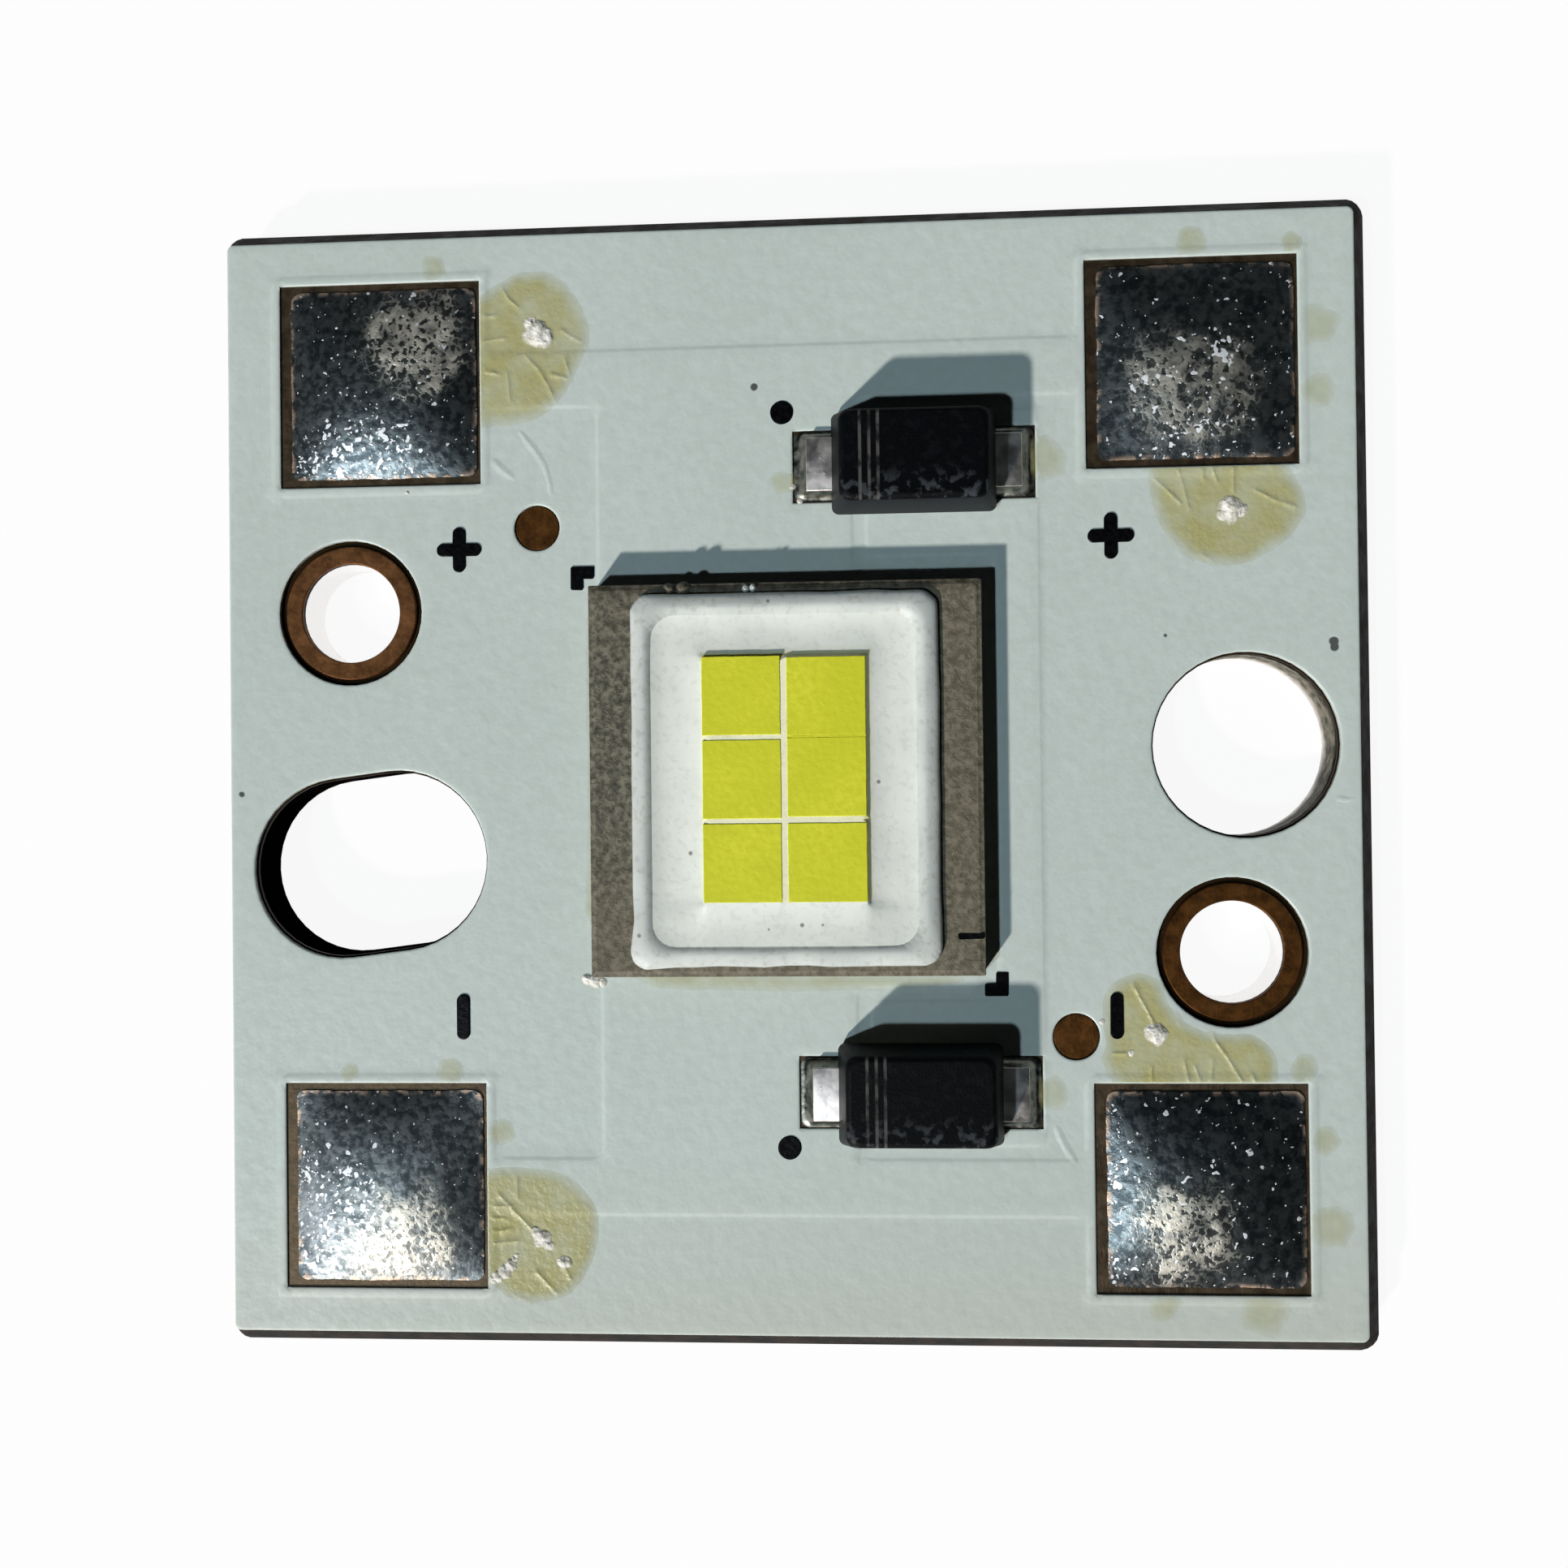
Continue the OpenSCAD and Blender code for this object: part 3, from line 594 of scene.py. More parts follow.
def ink_finish():
    material, tree, inputs = new_material("black_ink", Specular_IOR_Level=0.12)
    grain = use(tree, CLOUD, Size=0.08, Low=0.25, High=0.75, Detail=2, Seed=6)
    put(tree, mix(tree, grain, tint(3, 3, 5), tint(9, 10, 12)), inputs["Base Color"])
    put(tree, between(tree, grain, 0.3, 0.4), inputs["Roughness"])
    bump(tree, grain, 0.003, inputs)
    return material


dark_insulation = resin_finish()
black_ink = ink_finish()
print("finishes:", dark_insulation.name, black_ink.name)

# %% [markdown]
# Solder is a mirror, and here it looks up into a dark room, so most of it is nearly black. What shows is
# where the mirror is spoilt: worm-like crystals in frosted patches, and bright flakes, thin everywhere.
# Where a lamp is mirrored the flakes lie thick: those patches are painted glints, and one pad also has a
# pale blue patch of painted glare, set on a rougher mirror. A picture of solder would fix the light for
# good, so the spoilt places are masks on a real mirror. Dross gathers along the solder's edge, which the
# mesh marks with a value, "rim".

# %% Finish: tinned pads
def stored(tree, name):
    """A value that a mesh stores on its points, or 0 where it stores none."""
    node = tree.nodes.new("ShaderNodeAttribute")
    node.attribute_name = name
    return node.outputs["Fac"]


def tinned_finish(name, look, seed):
    material, tree, inputs = new_material(name)
    frost = patches_mask(tree, look["frost"], soft=0.4, ragged=1.5, seed=seed)
    # painted glints: where a lamp is mirrored, bright flakes are laid thick
    sparks = patches_mask(tree, look["sparks"], soft=0.4, ragged=1.5, seed=seed + 1)
    least = between(tree, sparks, 0.71, 0.585)
    most = calc(tree, "ADD", least, 0.02)
    coarse = use(tree, CLOUD, Size=0.16, Low=least, High=most, Detail=1, Seed=seed + 2)
    fine = use(tree, CLOUD, Size=0.08, Low=least, High=most, Detail=1, Seed=seed + 3)
    flakes = calc(tree, "MAXIMUM", coarse, fine)
    curls = use(tree, CLOUD, Size=0.15, Low=0.3, High=0.7, Detail=2, Seed=seed + 5)
    off_crest = calc(tree, "ABSOLUTE", calc(tree, "SUBTRACT", curls, 0.5))
    uneven = use(tree, CLOUD, Size=0.45, Low=0.3, High=0.62, Detail=4, Seed=seed + 6)
    shade = use(tree, CLOUD, Size=0.14, Low=0.35, High=0.65, Detail=3, Seed=seed + 4)
    grown = calc(tree, "MULTIPLY", frost, between(tree, uneven, 0.3, 1.0))
    reach = between(tree, grown, 0.04, 0.36)
    closed = smooth(tree, off_crest, calc(tree, "ADD", reach, 0.12), calc(tree, "SUBTRACT", reach, 0.08))
    growth = calc(tree, "MULTIPLY", grown, between(tree, shade, 0.75 * look["growth"], look["growth"]))
    worms = calc(tree, "MULTIPLY", closed, growth)
    broken = use(tree, CLOUD, Size=0.2, Low=0.45, High=0.6, Detail=3, Seed=seed)
    dross = calc(tree, "MULTIPLY", stored(tree, "rim"), broken)
    shine = look["shine"]
    dark = tint(70 * shine, 77 * shine, 80 * shine)
    mirror = mix(tree, shade, dark, tint(124 * shine, 130 * shine, 131 * shine))
    blur = look["blur"]
    # painted glare: a pale blue patch where a lamp's glare falls, on a rougher mirror
    if "haze" in look:
        haze = patches_mask(tree, look["haze"], soft=0.6, ragged=0.8, seed=seed + 7)
        mirror = mix(tree, calc(tree, "MULTIPLY", haze, 0.4), mirror, tint(186, 196, 204))
        blur = between(tree, haze, blur, blur + 0.06)
    frosted = mix(tree, calc(tree, "MULTIPLY", grown, 0.4), mirror, tint(146, 143, 132))
    ground = mix(tree, calc(tree, "MULTIPLY", worms, 0.85), frosted, tint(222, 218, 204))
    flaky = mix(tree, flakes, ground, tint(226, 232, 236))
    put(tree, mix(tree, dross, flaky, tint(180, 158, 140)), inputs["Base Color"])
    spoilt = calc(tree, "MAXIMUM", calc(tree, "MAXIMUM", flakes, worms), dross)
    put(tree, between(tree, spoilt, blur, 0.56), inputs["Roughness"])
    put(tree, between(tree, flakes, between(tree, worms, 1.0, 0.78), 0.45), inputs["Metallic"])
    bump(tree, weighted(tree, (spoilt, 0.6), (shade, 0.4)), 0.008, inputs)
    return material


print("the solder's finish reads the stored value: rim")

# %% [markdown]
# The four pads were tinned one after another, each at its own heat, and each mirrors another part of the
# room. So each has its own finish, from one function: where frost and painted glints lie, how far the
# crystals have grown, how much it shines and how blurred its mirror is, and on one pad where painted glare
# lies. The places were read off the photograph.

# %% Finishes: four tinned pads
PAD_SEED_STEP = 1.5
PAD_PATCHES = {
    "upper_left": {
        "frost": [(-6.6, 8.0, 0.9)], "growth": 1.1, "shine": 1.0, "blur": 0.38,
        "sparks": [(-8.2, 5.9, 0.6), (-7.2, 5.9, 0.55), (-7.6, 6.5, 0.3)]},
    "upper_right": {
        "frost": [(7.3, 6.77, 1.0)], "growth": 0.75, "shine": 1.02, "blur": 0.38,
        "sparks": [(6.57, 7.0, 0.3), (7.2, 5.9, 0.35), (7.9, 7.4, 0.25)]},
    "lower_left": {
        "frost": [(-6.9, -8.2, 0.8)], "haze": [(-9.0, -7.6, 0.6)], "growth": 0.9, "shine": 0.92, "blur": 0.45,
        "sparks": [(-8.5, -7.2, 0.5), (-7.8, -7.7, 0.8), (-8.3, -8.4, 0.7)]},
    "lower_right": {
        "frost": [(6.85, -8.0, 0.8)], "growth": 1.1, "shine": 0.9, "blur": 0.37,
        "sparks": [(5.75, -6.3, 0.3), (5.75, -7.0, 0.35), (5.75, -7.8, 0.35), (5.6, -8.6, 0.25)]},
}
tinned_pads = {}
for order, (corner, look) in enumerate(PAD_PATCHES.items()):
    tinned_pads[corner] = tinned_finish("tinned_pad_" + corner, look, PAD_SEED_STEP * order)
print("finishes:", [material.name for material in tinned_pads.values()])

# %% [markdown]
# The other metals are simpler: the solder at the diodes' leads, their tin plating, and the gold and the
# crystal dies that stay hidden under the package. They differ in colour and grain but not in kind, so one
# function with a cloud and a few pits makes all four.

# %% Finishes: solder joints, tin, gold and dies
def metal_finish(name, dark, light, smoothest, roughest, grain_size):
    material, tree, inputs = new_material(name, Metallic=1.0)
    grain = use(tree, CLOUD, Size=grain_size, Low=0.3, High=0.7, Detail=3, Seed=8)
    pits = use(tree, SPECKS, Size=0.09, Cover=0.3, Radius=0.25, Seed=2)
    put(tree, mix(tree, grain, dark, light), inputs["Base Color"])
    put(tree, between(tree, grain, smoothest, roughest), inputs["Roughness"])
    bump(tree, weighted(tree, (grain, 0.6), (pits, 0.4)), 0.004, inputs)
    return material


joint_solder = metal_finish("joint_solder", tint(84, 88, 84), tint(150, 150, 140),
                            smoothest=0.25, roughest=0.5, grain_size=0.15)
bright_tin = metal_finish("bright_tin", tint(190, 182, 178), tint(226, 219, 214),
                          smoothest=0.34, roughest=0.52, grain_size=0.3)
gold_plate = metal_finish("gold_plate", tint(196, 160, 82), tint(216, 182, 104),
                          smoothest=0.3, roughest=0.4, grain_size=0.2)
die_crystal = metal_finish("die_crystal", tint(70, 82, 110), tint(92, 104, 130),
                           smoothest=0.2, roughest=0.3, grain_size=0.3)
print("finishes:", joint_solder.name, bright_tin.name, gold_plate.name, die_crystal.name)

# %% [markdown]
# The package's plate is a grey-brown nitride ceramic with a mottled, ground surface. It is darker at the
# left, and darker along its upper edge, on the side where the shadows fall: that band is painted shade.
# Two mottled tones, mixed by a wide soft area, give the darker left side without a border.

# %% Finish: ceramic
TOP_SHADE_FROM = 3.2
TOP_SHADE_TO = 3.42


def ceramic_finish():
    material, tree, inputs = new_material("grey_ceramic", Specular_IOR_Level=0.3)
    mottle = use(tree, CLOUD, Size=0.15, Low=0.32, High=0.68, Detail=4, Seed=12)
    pores = use(tree, CLOUD, Size=0.08, Low=0.52, High=0.57, Detail=2, Seed=3)
    dark_side = use(tree, AREA, X=-3.4, Y=0.9, Radius=2.4, Soft=1.6, Ragged=1.0, Seed=4)
    lit = mix(tree, mottle, tint(88, 84, 69), tint(120, 115, 99))
    shaded = mix(tree, mottle, tint(64, 64, 54), tint(122, 119, 103))
    ground = mix(tree, dark_side, lit, shaded)
    deep = calc(tree, "MULTIPLY", pores, between(tree, dark_side, 0.25, 0.55))
    porous = mix(tree, deep, ground, tint(58, 56, 47))
    # painted shade: a darker band along the upper edge, where the shadows fall
    at_edge = smooth(tree, place_parts(tree)["Y"], TOP_SHADE_FROM, TOP_SHADE_TO)
    top_shade = calc(tree, "MULTIPLY", at_edge, between(tree, mottle, 0.8, 0.4))
    put(tree, mix(tree, top_shade, porous, tint(44, 41, 34)), inputs["Base Color"])
    put(tree, between(tree, mottle, 0.5, 0.65), inputs["Roughness"])
    bump(tree, weighted(tree, (mottle, 0.5), (pores, -0.5)), 0.007, inputs)
    return material


grey_ceramic = ceramic_finish()
print("finish:", grey_ceramic.name)

# %% [markdown]
# The fill is white silicone, glossy like milk glass. The dam lets a little of the dark ceramic through and
# looks greyer, and between the tiles the fill is cream. Real silicone scatters light inside. That is slow
# to work out and hardly shows here, so plain colours are used, with grime and a few grains of dust, and
# with painted olive light just behind the tiles.

# %% Finishes: silicone
GRAINS = [(-1.58, -1.28, 0.03), (0.36, -2.54, 0.03), (0.72, -2.54, 0.02), (-0.22, -2.61, 0.025),
          (1.71, -0.07, 0.03), (-2.49, -2.71, 0.04), (-0.17, 3.09, 0.03)]


def silicone_finish(name, dull, bright, dirt):
    material, tree, inputs = new_material(name, Specular_IOR_Level=0.35)
    tone = use(tree, CLOUD, Size=0.9, Low=0.3, High=0.7, Detail=3, Seed=21)
    grime = use(tree, CLOUD, Size=0.12, Low=0.48, High=0.7, Detail=4, Seed=24)
    dust = use(tree, SPECKS, Size=0.5, Cover=0.2, Radius=0.07, Seed=22)
    grains = patches_mask(tree, GRAINS, soft=0.012, ragged=0.06, seed=3)
    spots = calc(tree, "MAXIMUM", calc(tree, "MULTIPLY", dust, 0.6), calc(tree, "MULTIPLY", grains, 0.85))
    milk = mix(tree, tone, dull, bright)
    # painted light: olive where the tiles' yellow light falls behind them
    behind = calc(tree, "MULTIPLY", stored(tree, "behind_tiles"), 0.85)
    olive = mix(tree, behind, milk, tint(196, 190, 96))
    grimy = mix(tree, calc(tree, "MULTIPLY", grime, dirt), olive, tint(150, 150, 142))
    put(tree, mix(tree, spots, grimy, tint(120, 116, 110)), inputs["Base Color"])
    put(tree, between(tree, tone, 0.36, 0.5), inputs["Roughness"])
    ripple = use(tree, CLOUD, Size=0.5, Low=0.2, High=0.8, Detail=1, Seed=23)
    bump(tree, weighted(tree, (ripple, 1.0), (grime, -0.25), (dust, 0.3)), 0.006, inputs)
    return material


white_silicone = silicone_finish("milky_silicone", tint(223, 229, 222), tint(229, 234, 227), dirt=0.14)
grey_silicone = silicone_finish("grey_silicone", tint(189, 196, 192), tint(201, 207, 203), dirt=0.38)
cream_silicone = silicone_finish("cream_silicone", tint(236, 236, 200), tint(240, 240, 208), dirt=0.1)
print("finishes:", white_silicone.name, grey_silicone.name, cream_silicone.name)

# %% [markdown]
# The tiles are a ceramic full of yellow phosphor, matt and finely grained. They don't glow, because the
# diode is switched off, so a bright yellow with a fine grain is enough.

# %% Finish: phosphor
def phosphor_finish():
    material, tree, inputs = new_material("yellow_phosphor", Specular_IOR_Level=0.25)
    grain = use(tree, CLOUD, Size=0.12, Low=0.2, High=0.8, Detail=4, Seed=31)
    tone = use(tree, CLOUD, Size=0.9, Low=0.3, High=0.7, Detail=2, Seed=32)
    bright = mix(tree, grain, tint(203, 207, 40), tint(220, 224, 57))
    put(tree, mix(tree, tone, tint(204, 208, 44), bright), inputs["Base Color"])
    put(tree, between(tree, grain, 0.55, 0.7), inputs["Roughness"])
    bump(tree, grain, 0.004, inputs)
    return material


yellow_phosphor = phosphor_finish()
print("finish:", yellow_phosphor.name)

# %% [markdown]
# The diodes are moulded in black epoxy. A laser has burnt three pale lines into the top, at the cathode's
# end; they are worn, so a cloud breaks them up. Dust and scuffs lie mostly along the lower edge. Both
# follow from the body's own box, so each diode has a finish that is made for its place.

# %% Finish: black mould
DIODES = ("upper_diode_", "lower_diode_")
MOULD_SEEDS = (41, 48)
BAND_PLACES = (0.52, 0.68, 0.83)
BAND_HALF_WIDTH = 0.035
DUST_FULL = 0.2
DUST_END = 0.75
TOP_FROM = 0.1
TOP_FULL = 0.03


def box_mm(node):
    """The lowest and the highest corner of a CAD node, in millimetres."""
    low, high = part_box(node)
    return np.array(low) / MM, np.array(high) / MM


def mould_finish(name, node, seed):
    low, high = box_mm(node)
    left, front, top = float(low[0]), float(low[1]), float(high[2])
    material, tree, inputs = new_material(name, Specular_IOR_Level=0.08)
    place = place_parts(tree)
    grain = use(tree, CLOUD, Size=0.05, Low=0.25, High=0.75, Detail=2, Seed=seed)
    worn = use(tree, CLOUD, Size=0.3, Low=0.35, High=0.55, Detail=3, Seed=seed + 1)
    scuffs = use(tree, CLOUD, Size=0.16, Low=0.5, High=0.62, Detail=3, Seed=seed + 2)
    clean = smooth(tree, place["Y"], front + DUST_FULL, front + DUST_END)
    near_edge = calc(tree, "SUBTRACT", 1, clean)
    lines = 0.0
    for band in BAND_PLACES:
        apart = calc(tree, "ABSOLUTE", calc(tree, "SUBTRACT", place["X"], left + band))
        line = calc(tree, "SUBTRACT", 1, smooth(tree, apart, BAND_HALF_WIDTH * 0.5, BAND_HALF_WIDTH))
        lines = calc(tree, "MAXIMUM", lines, line)
    top_only = smooth(tree, place["Z"], top - TOP_FROM, top - TOP_FULL)
    even_dust = calc(tree, "MULTIPLY", calc(tree, "SUBTRACT", 1, top_only), 0.35)
    patchy = calc(tree, "MAXIMUM", calc(tree, "MULTIPLY", scuffs, top_only), even_dust)
    burnt = calc(tree, "MULTIPLY", calc(tree, "MULTIPLY", lines, top_only), between(tree, worn, 0.1, 0.8))
    dusty = calc(tree, "MULTIPLY", patchy, between(tree, near_edge, 0.02, 0.42))
    black = mix(tree, grain, tint(2, 3, 5), tint(7, 8, 11))
    scuffed = mix(tree, dusty, black, tint(86, 92, 98))
    put(tree, mix(tree, burnt, scuffed, tint(84, 84, 82)), inputs["Base Color"])
    put(tree, between(tree, weighted(tree, (dusty, 0.8), (burnt, 0.6)), 0.5, 0.7), inputs["Roughness"])
    bump(tree, weighted(tree, (grain, 0.5), (burnt, -0.6), (dusty, 0.5)), 0.004, inputs)
    return material


black_mould = {diode: mould_finish(diode + "black", diode + "body", seed)
               for diode, seed in zip(DIODES, MOULD_SEEDS)}
print("finishes:", [material.name for material in black_mould.values()])

# %% [markdown]
# Flux is a resin that boils out while soldering and dries to a wrinkled yellow skin. It is thin enough to
# see through, so its alpha changes with its thickness, which each film stores on its points as "cover".
# Glass would bend the light as well, but a skin this thin doesn't. The beads are the same resin, full of
# bubbles, so they take the same function with paler colours and cover fully; a short row of them is a
# painted glint.

# %% Finishes: dried flux
def flux_finish(name, thin, thick, most, roughness, size, depth):
    material, tree, inputs = new_material(name, Specular_IOR_Level=0.4, Roughness=roughness)
    patch = use(tree, CLOUD, Size=size, Low=0.25, High=0.75, Detail=3, Seed=51)
    crease = use(tree, CLOUD, Size=0.12, Low=0.3, High=0.7, Detail=2, Seed=52)
    put(tree, mix(tree, patch, thin, thick), inputs["Base Color"])
    thickness = between(tree, patch, most * 0.6, most)
    put(tree, calc(tree, "MULTIPLY", stored(tree, "cover"), thickness), inputs["Alpha"])
    bump(tree, crease, depth, inputs)
    return material


flux_skin = flux_finish("flux_skin", tint(200, 196, 134), tint(186, 180, 112),
                        most=0.74, roughness=0.35, size=0.5, depth=0.006)
flux_bead = flux_finish("flux_bead", tint(216, 214, 200), tint(246, 246, 240),
                        most=1.0, roughness=0.75, size=0.13, depth=0.02)
print("finishes:", flux_skin.name, flux_bead.name)

# %% [markdown]
# Now the shapes. Most pieces are a stack of outlines: a tile is a square that shrinks a little near its
# top, a ring is an outline that turns back into itself. Bevel modifiers could round the edges too, but a
# stack gives each edge just the curve that we ask for. Two kinds of outline are enough to start with.

# %% Make outlines
ROUND_STEPS = 6
CIRCLE_POINTS = 96


def rounded_box(centre, width, depth, radius):
    """A rectangle with round corners, anticlockwise."""
    points = []
    for quarter, (side_x, side_y) in enumerate([(1, 1), (-1, 1), (-1, -1), (1, -1)]):
        for step in range(ROUND_STEPS + 1):
            angle = (quarter + step / ROUND_STEPS) * math.pi / 2
            x = side_x * (width / 2 - radius) + radius * math.cos(angle)
            y = side_y * (depth / 2 - radius) + radius * math.sin(angle)
            points.append((centre[0] + x, centre[1] + y))
    return np.array(points)


def circle(centre, radius, count=CIRCLE_POINTS):
    """A circle, anticlockwise."""
    angles = np.arange(count) * 2 * math.pi / count
    return np.stack([centre[0] + radius * np.cos(angles), centre[1] + radius * np.sin(angles)], 1)


print("outline of a tile has", len(rounded_box((0, 0), 1, 1, 0.1)), "points")

# %% [markdown]
# An outline is then shrunk, split into short edges, shifted by soft noise and lifted to its height. Each
# helper gives back a new outline, so they can be chained without spoiling the first one.

# %% Change outlines
def inset(outline, distance):
    """Move a closed outline to its left, which is inwards for an anticlockwise one."""
    ahead = np.roll(outline, -1, 0) - outline
    ahead = ahead / np.linalg.norm(ahead, axis=1)[:, None]
    left = np.stack([-ahead[:, 1], ahead[:, 0]], 1)
    middle = left + np.roll(left, 1, 0)
    return outline + distance * middle * (2 / (middle * middle).sum(1))[:, None]


def wobble(outline, amount, size, seed):
    """Shift each point of an outline by a soft random amount."""
    shifts = [noise.noise_vector(Vector((x / size, y / size, seed))) for x, y in outline]
    return outline + amount * np.array(shifts)[:, :2]


def divided(outline, step):
    """Split the long edges of a closed outline."""
    points = []
    for here, there in zip(outline, np.roll(outline, -1, 0)):
        count = max(1, math.ceil(np.linalg.norm(there - here) / step))
        points.extend(here + (there - here) * i / count for i in range(count))
    return np.array(points)


def split_edges(outline, count):
    """Split every edge of a closed outline into the same number of pieces."""
    shares = np.arange(count)[:, None] / count
    pairs = zip(outline, np.roll(outline, -1, 0))
    return np.concatenate([here + (there - here) * shares for here, there in pairs])


def at_height(outline, z):
    """Lift an outline to a height, or to one height for each point."""
    return np.column_stack([outline, np.broadcast_to(z, len(outline))])


smaller = inset(circle((0, 0), 1), 0.1)
print("a circle 2 mm wide, moved in by 0.1 mm, is", round(float(np.ptp(smaller[:, 0])), 3), "mm wide")

# %% [markdown]
# A skin is made by joining each outline to the next one, point by point, and closing both ends. Blender can
# bridge edge loops too, but here every ring has the same number of points, so plain counting does it.

# %% Join outlines into a skin
EDGE_STEPS = 3


def new_mesh(name, points, faces):
    """A mesh from points in millimetres."""
    mesh = bpy.data.meshes.new(name)
    mesh.from_pydata((np.asarray(points) * MM).tolist(), [], faces)
    return mesh


def stack_mesh(name, rings, closed=False):
    """Join rings of points into a skin; the ends are capped, or joined to each other if closed."""
    count = len(rings[0])
    steps = len(rings) if closed else len(rings) - 1
    faces = []
    for level in range(steps):
        low = level * count
        high = (level + 1) % len(rings) * count
        for i in range(count):
            j = (i + 1) % count
            faces.append((low + i, low + j, high + j, high + i))
    if not closed:
        faces.append(tuple(reversed(range(count))))
        faces.append(tuple(range(steps * count, (steps + 1) * count)))
    return new_mesh(name, np.concatenate(rings), faces)


def soft_slab(name, outline, low, high, edge):
    """A slab whose upper edge is rounded."""
    rings = [at_height(outline, low)]
    for step in range(EDGE_STEPS + 1):
        angle = step / EDGE_STEPS * math.pi / 2
        ring = inset(outline, edge * (1 - math.cos(angle)))
        rings.append(at_height(ring, high - edge * (1 - math.sin(angle))))
    return stack_mesh(name, rings)


print("rings in a rounded edge:", EDGE_STEPS + 1)

# %% [markdown]
# New pieces ride on the board's one body and hide the solids that they stand for. Edges steeper than a
# limit stay sharp and the rest is shaded smooth, but faces with more than four corners stay flat. A mesh
# can also store a number on each point, which its material reads.

# %% Add a piece to the part
SHARP_ANGLE = math.radians(35)
LARGEST_SMOOTH = 4


def store(mesh, name, values):
    """Store one number on each point of a mesh, for its material to read."""
    mesh.attributes.new(name, "FLOAT", "POINT").data.foreach_set("value", values)


def add_piece(mesh, material, slot, *nodes):
    """Put a mesh in the scene as a piece that rides on the board and stands for some CAD nodes."""
    mesh.set_sharp_from_angle(angle=SHARP_ANGLE)
    smooth_faces = [len(polygon.vertices) <= LARGEST_SMOOTH for polygon in mesh.polygons]
    mesh.polygons.foreach_set("use_smooth", smooth_faces)
    mesh.materials.append(material)
    piece = bpy.data.objects.new(mesh.name, mesh)
    scene.collection.objects.link(piece)
    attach(piece, "root")
    if nodes:
        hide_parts(*nodes)


print("edges stay sharp from", round(math.degrees(SHARP_ANGLE)), "degrees")

# %% [markdown]
# Some solids already have the right shape: the insulation, the foils and everything that is sealed inside.
# They could be copied, but nothing about them has to change, so they keep their meshes and only get a
# finish.

# %% Paint the solids that stay
PAINTED = {
    dark_insulation: ["insulation"],
    stained_copper: ["positive_foil", "negative_foil", "link_foil"],
    gold_plate: ["led_anode_metal", "led_cathode_metal", "led_thermal_metal"],
    joint_solder: ["led_anode_joint", "led_cathode_joint", "led_thermal_joint"],
    die_crystal: ["upper_diode_die", "lower_diode_die"] + ["led_die_%d" % number for number in range(1, 7)],
}
for material, nodes in PAINTED.items():
    for node in nodes:
        mesh = frame["nodes"][node].data
        mesh.materials.clear()
        mesh.materials.append(material)
print("painted solids:", sum(len(nodes) for nodes in PAINTED.values()))

# %% [markdown]
# Two kinds of piece have the right form but edges that are too sharp: the copper plate, and later the
# diodes' leads. Building them again would only repeat the solid. Instead a copy of its mesh is cleaned and
# gets its edges rounded.

# %% Round the edges of a solid
TOUCH = 0.0005
FLAT_ANGLE = 0.01
BEVEL_SEGMENTS = 4
BEVEL_PROFILE = 0.5


def welded_copy(node):
    """A copy of a CAD node's mesh with its split points joined and its flat faces merged."""
    shape = bmesh.new()
    shape.from_mesh(frame["nodes"][node].data)
    bmesh.ops.remove_doubles(shape, verts=shape.verts, dist=TOUCH * MM)
    bmesh.ops.dissolve_limit(shape, angle_limit=FLAT_ANGLE, verts=shape.verts, edges=shape.edges)
    return shape


def round_edges(shape, edges, radius):
    """Round some edges of a mesh."""
    bmesh.ops.bevel(shape, geom=edges, offset=radius * MM, segments=BEVEL_SEGMENTS,
                    profile=BEVEL_PROFILE, affect="EDGES")


def finished_mesh(name, shape):
    """Turn the edited copy into a mesh of its own."""
    mesh = bpy.data.meshes.new(name)
    shape.to_mesh(mesh)
    shape.free()
    return mesh


print("points closer than this are joined, in mm:", TOUCH)

# %% [markdown]
# The plate carries everything else. It was broken out of a larger panel, so its four corners are rounded,
# and it broke a little closer at the left, so that edge moves in. Faces, walls and the sloping broken edge
# have three finishes, and a face's own slope tells which one it takes.

# %% Copper plate
PLATE_CORNER = 0.28
LEFT_EDGE = -10.31
WALL_SLOPE = 0.5
FACE_SLOPE = 0.95

face_corner = box_mm("insulation")[1] - TOUCH


def at_corner(vertex):
    """Whether a point lies at one of the plate's four corners, on its faces or on its walls."""
    return abs(vertex.co.x) > face_corner[0] * MM and abs(vertex.co.y) > face_corner[1] * MM


shape = welded_copy("copper_core")
corners = [edge for edge in shape.edges if all(at_corner(vertex) for vertex in edge.verts)
           and abs(edge.verts[0].co.z - edge.verts[1].co.z) > TOUCH * MM]
for vertex in shape.verts:
    vertex.co.x = max(vertex.co.x, LEFT_EDGE * MM)
round_edges(shape, corners, PLATE_CORNER)
plate_mesh = finished_mesh("copper_plate", shape)
add_piece(plate_mesh, plain_copper, "copper", "copper_core")
plate_mesh.materials.append(cut_wall)
plate_mesh.materials.append(dark_edge)
for polygon in plate_mesh.polygons:
    level = abs(polygon.normal.z)
    polygon.material_index = 1 if level < WALL_SLOPE else 2 if level < FACE_SLOPE else 0
    polygon.use_smooth = level < WALL_SLOPE
print("corner edges rounded:", len(corners))

# %% [markdown]
# The coating is one thin skin with many openings, and at the screw hole and the slot it has chipped back a
# little and bares the dark layer. The openings could be written down again, but the solid already has them.
# So its outlines are read off: they are the edges of its top face that belong to one triangle only.

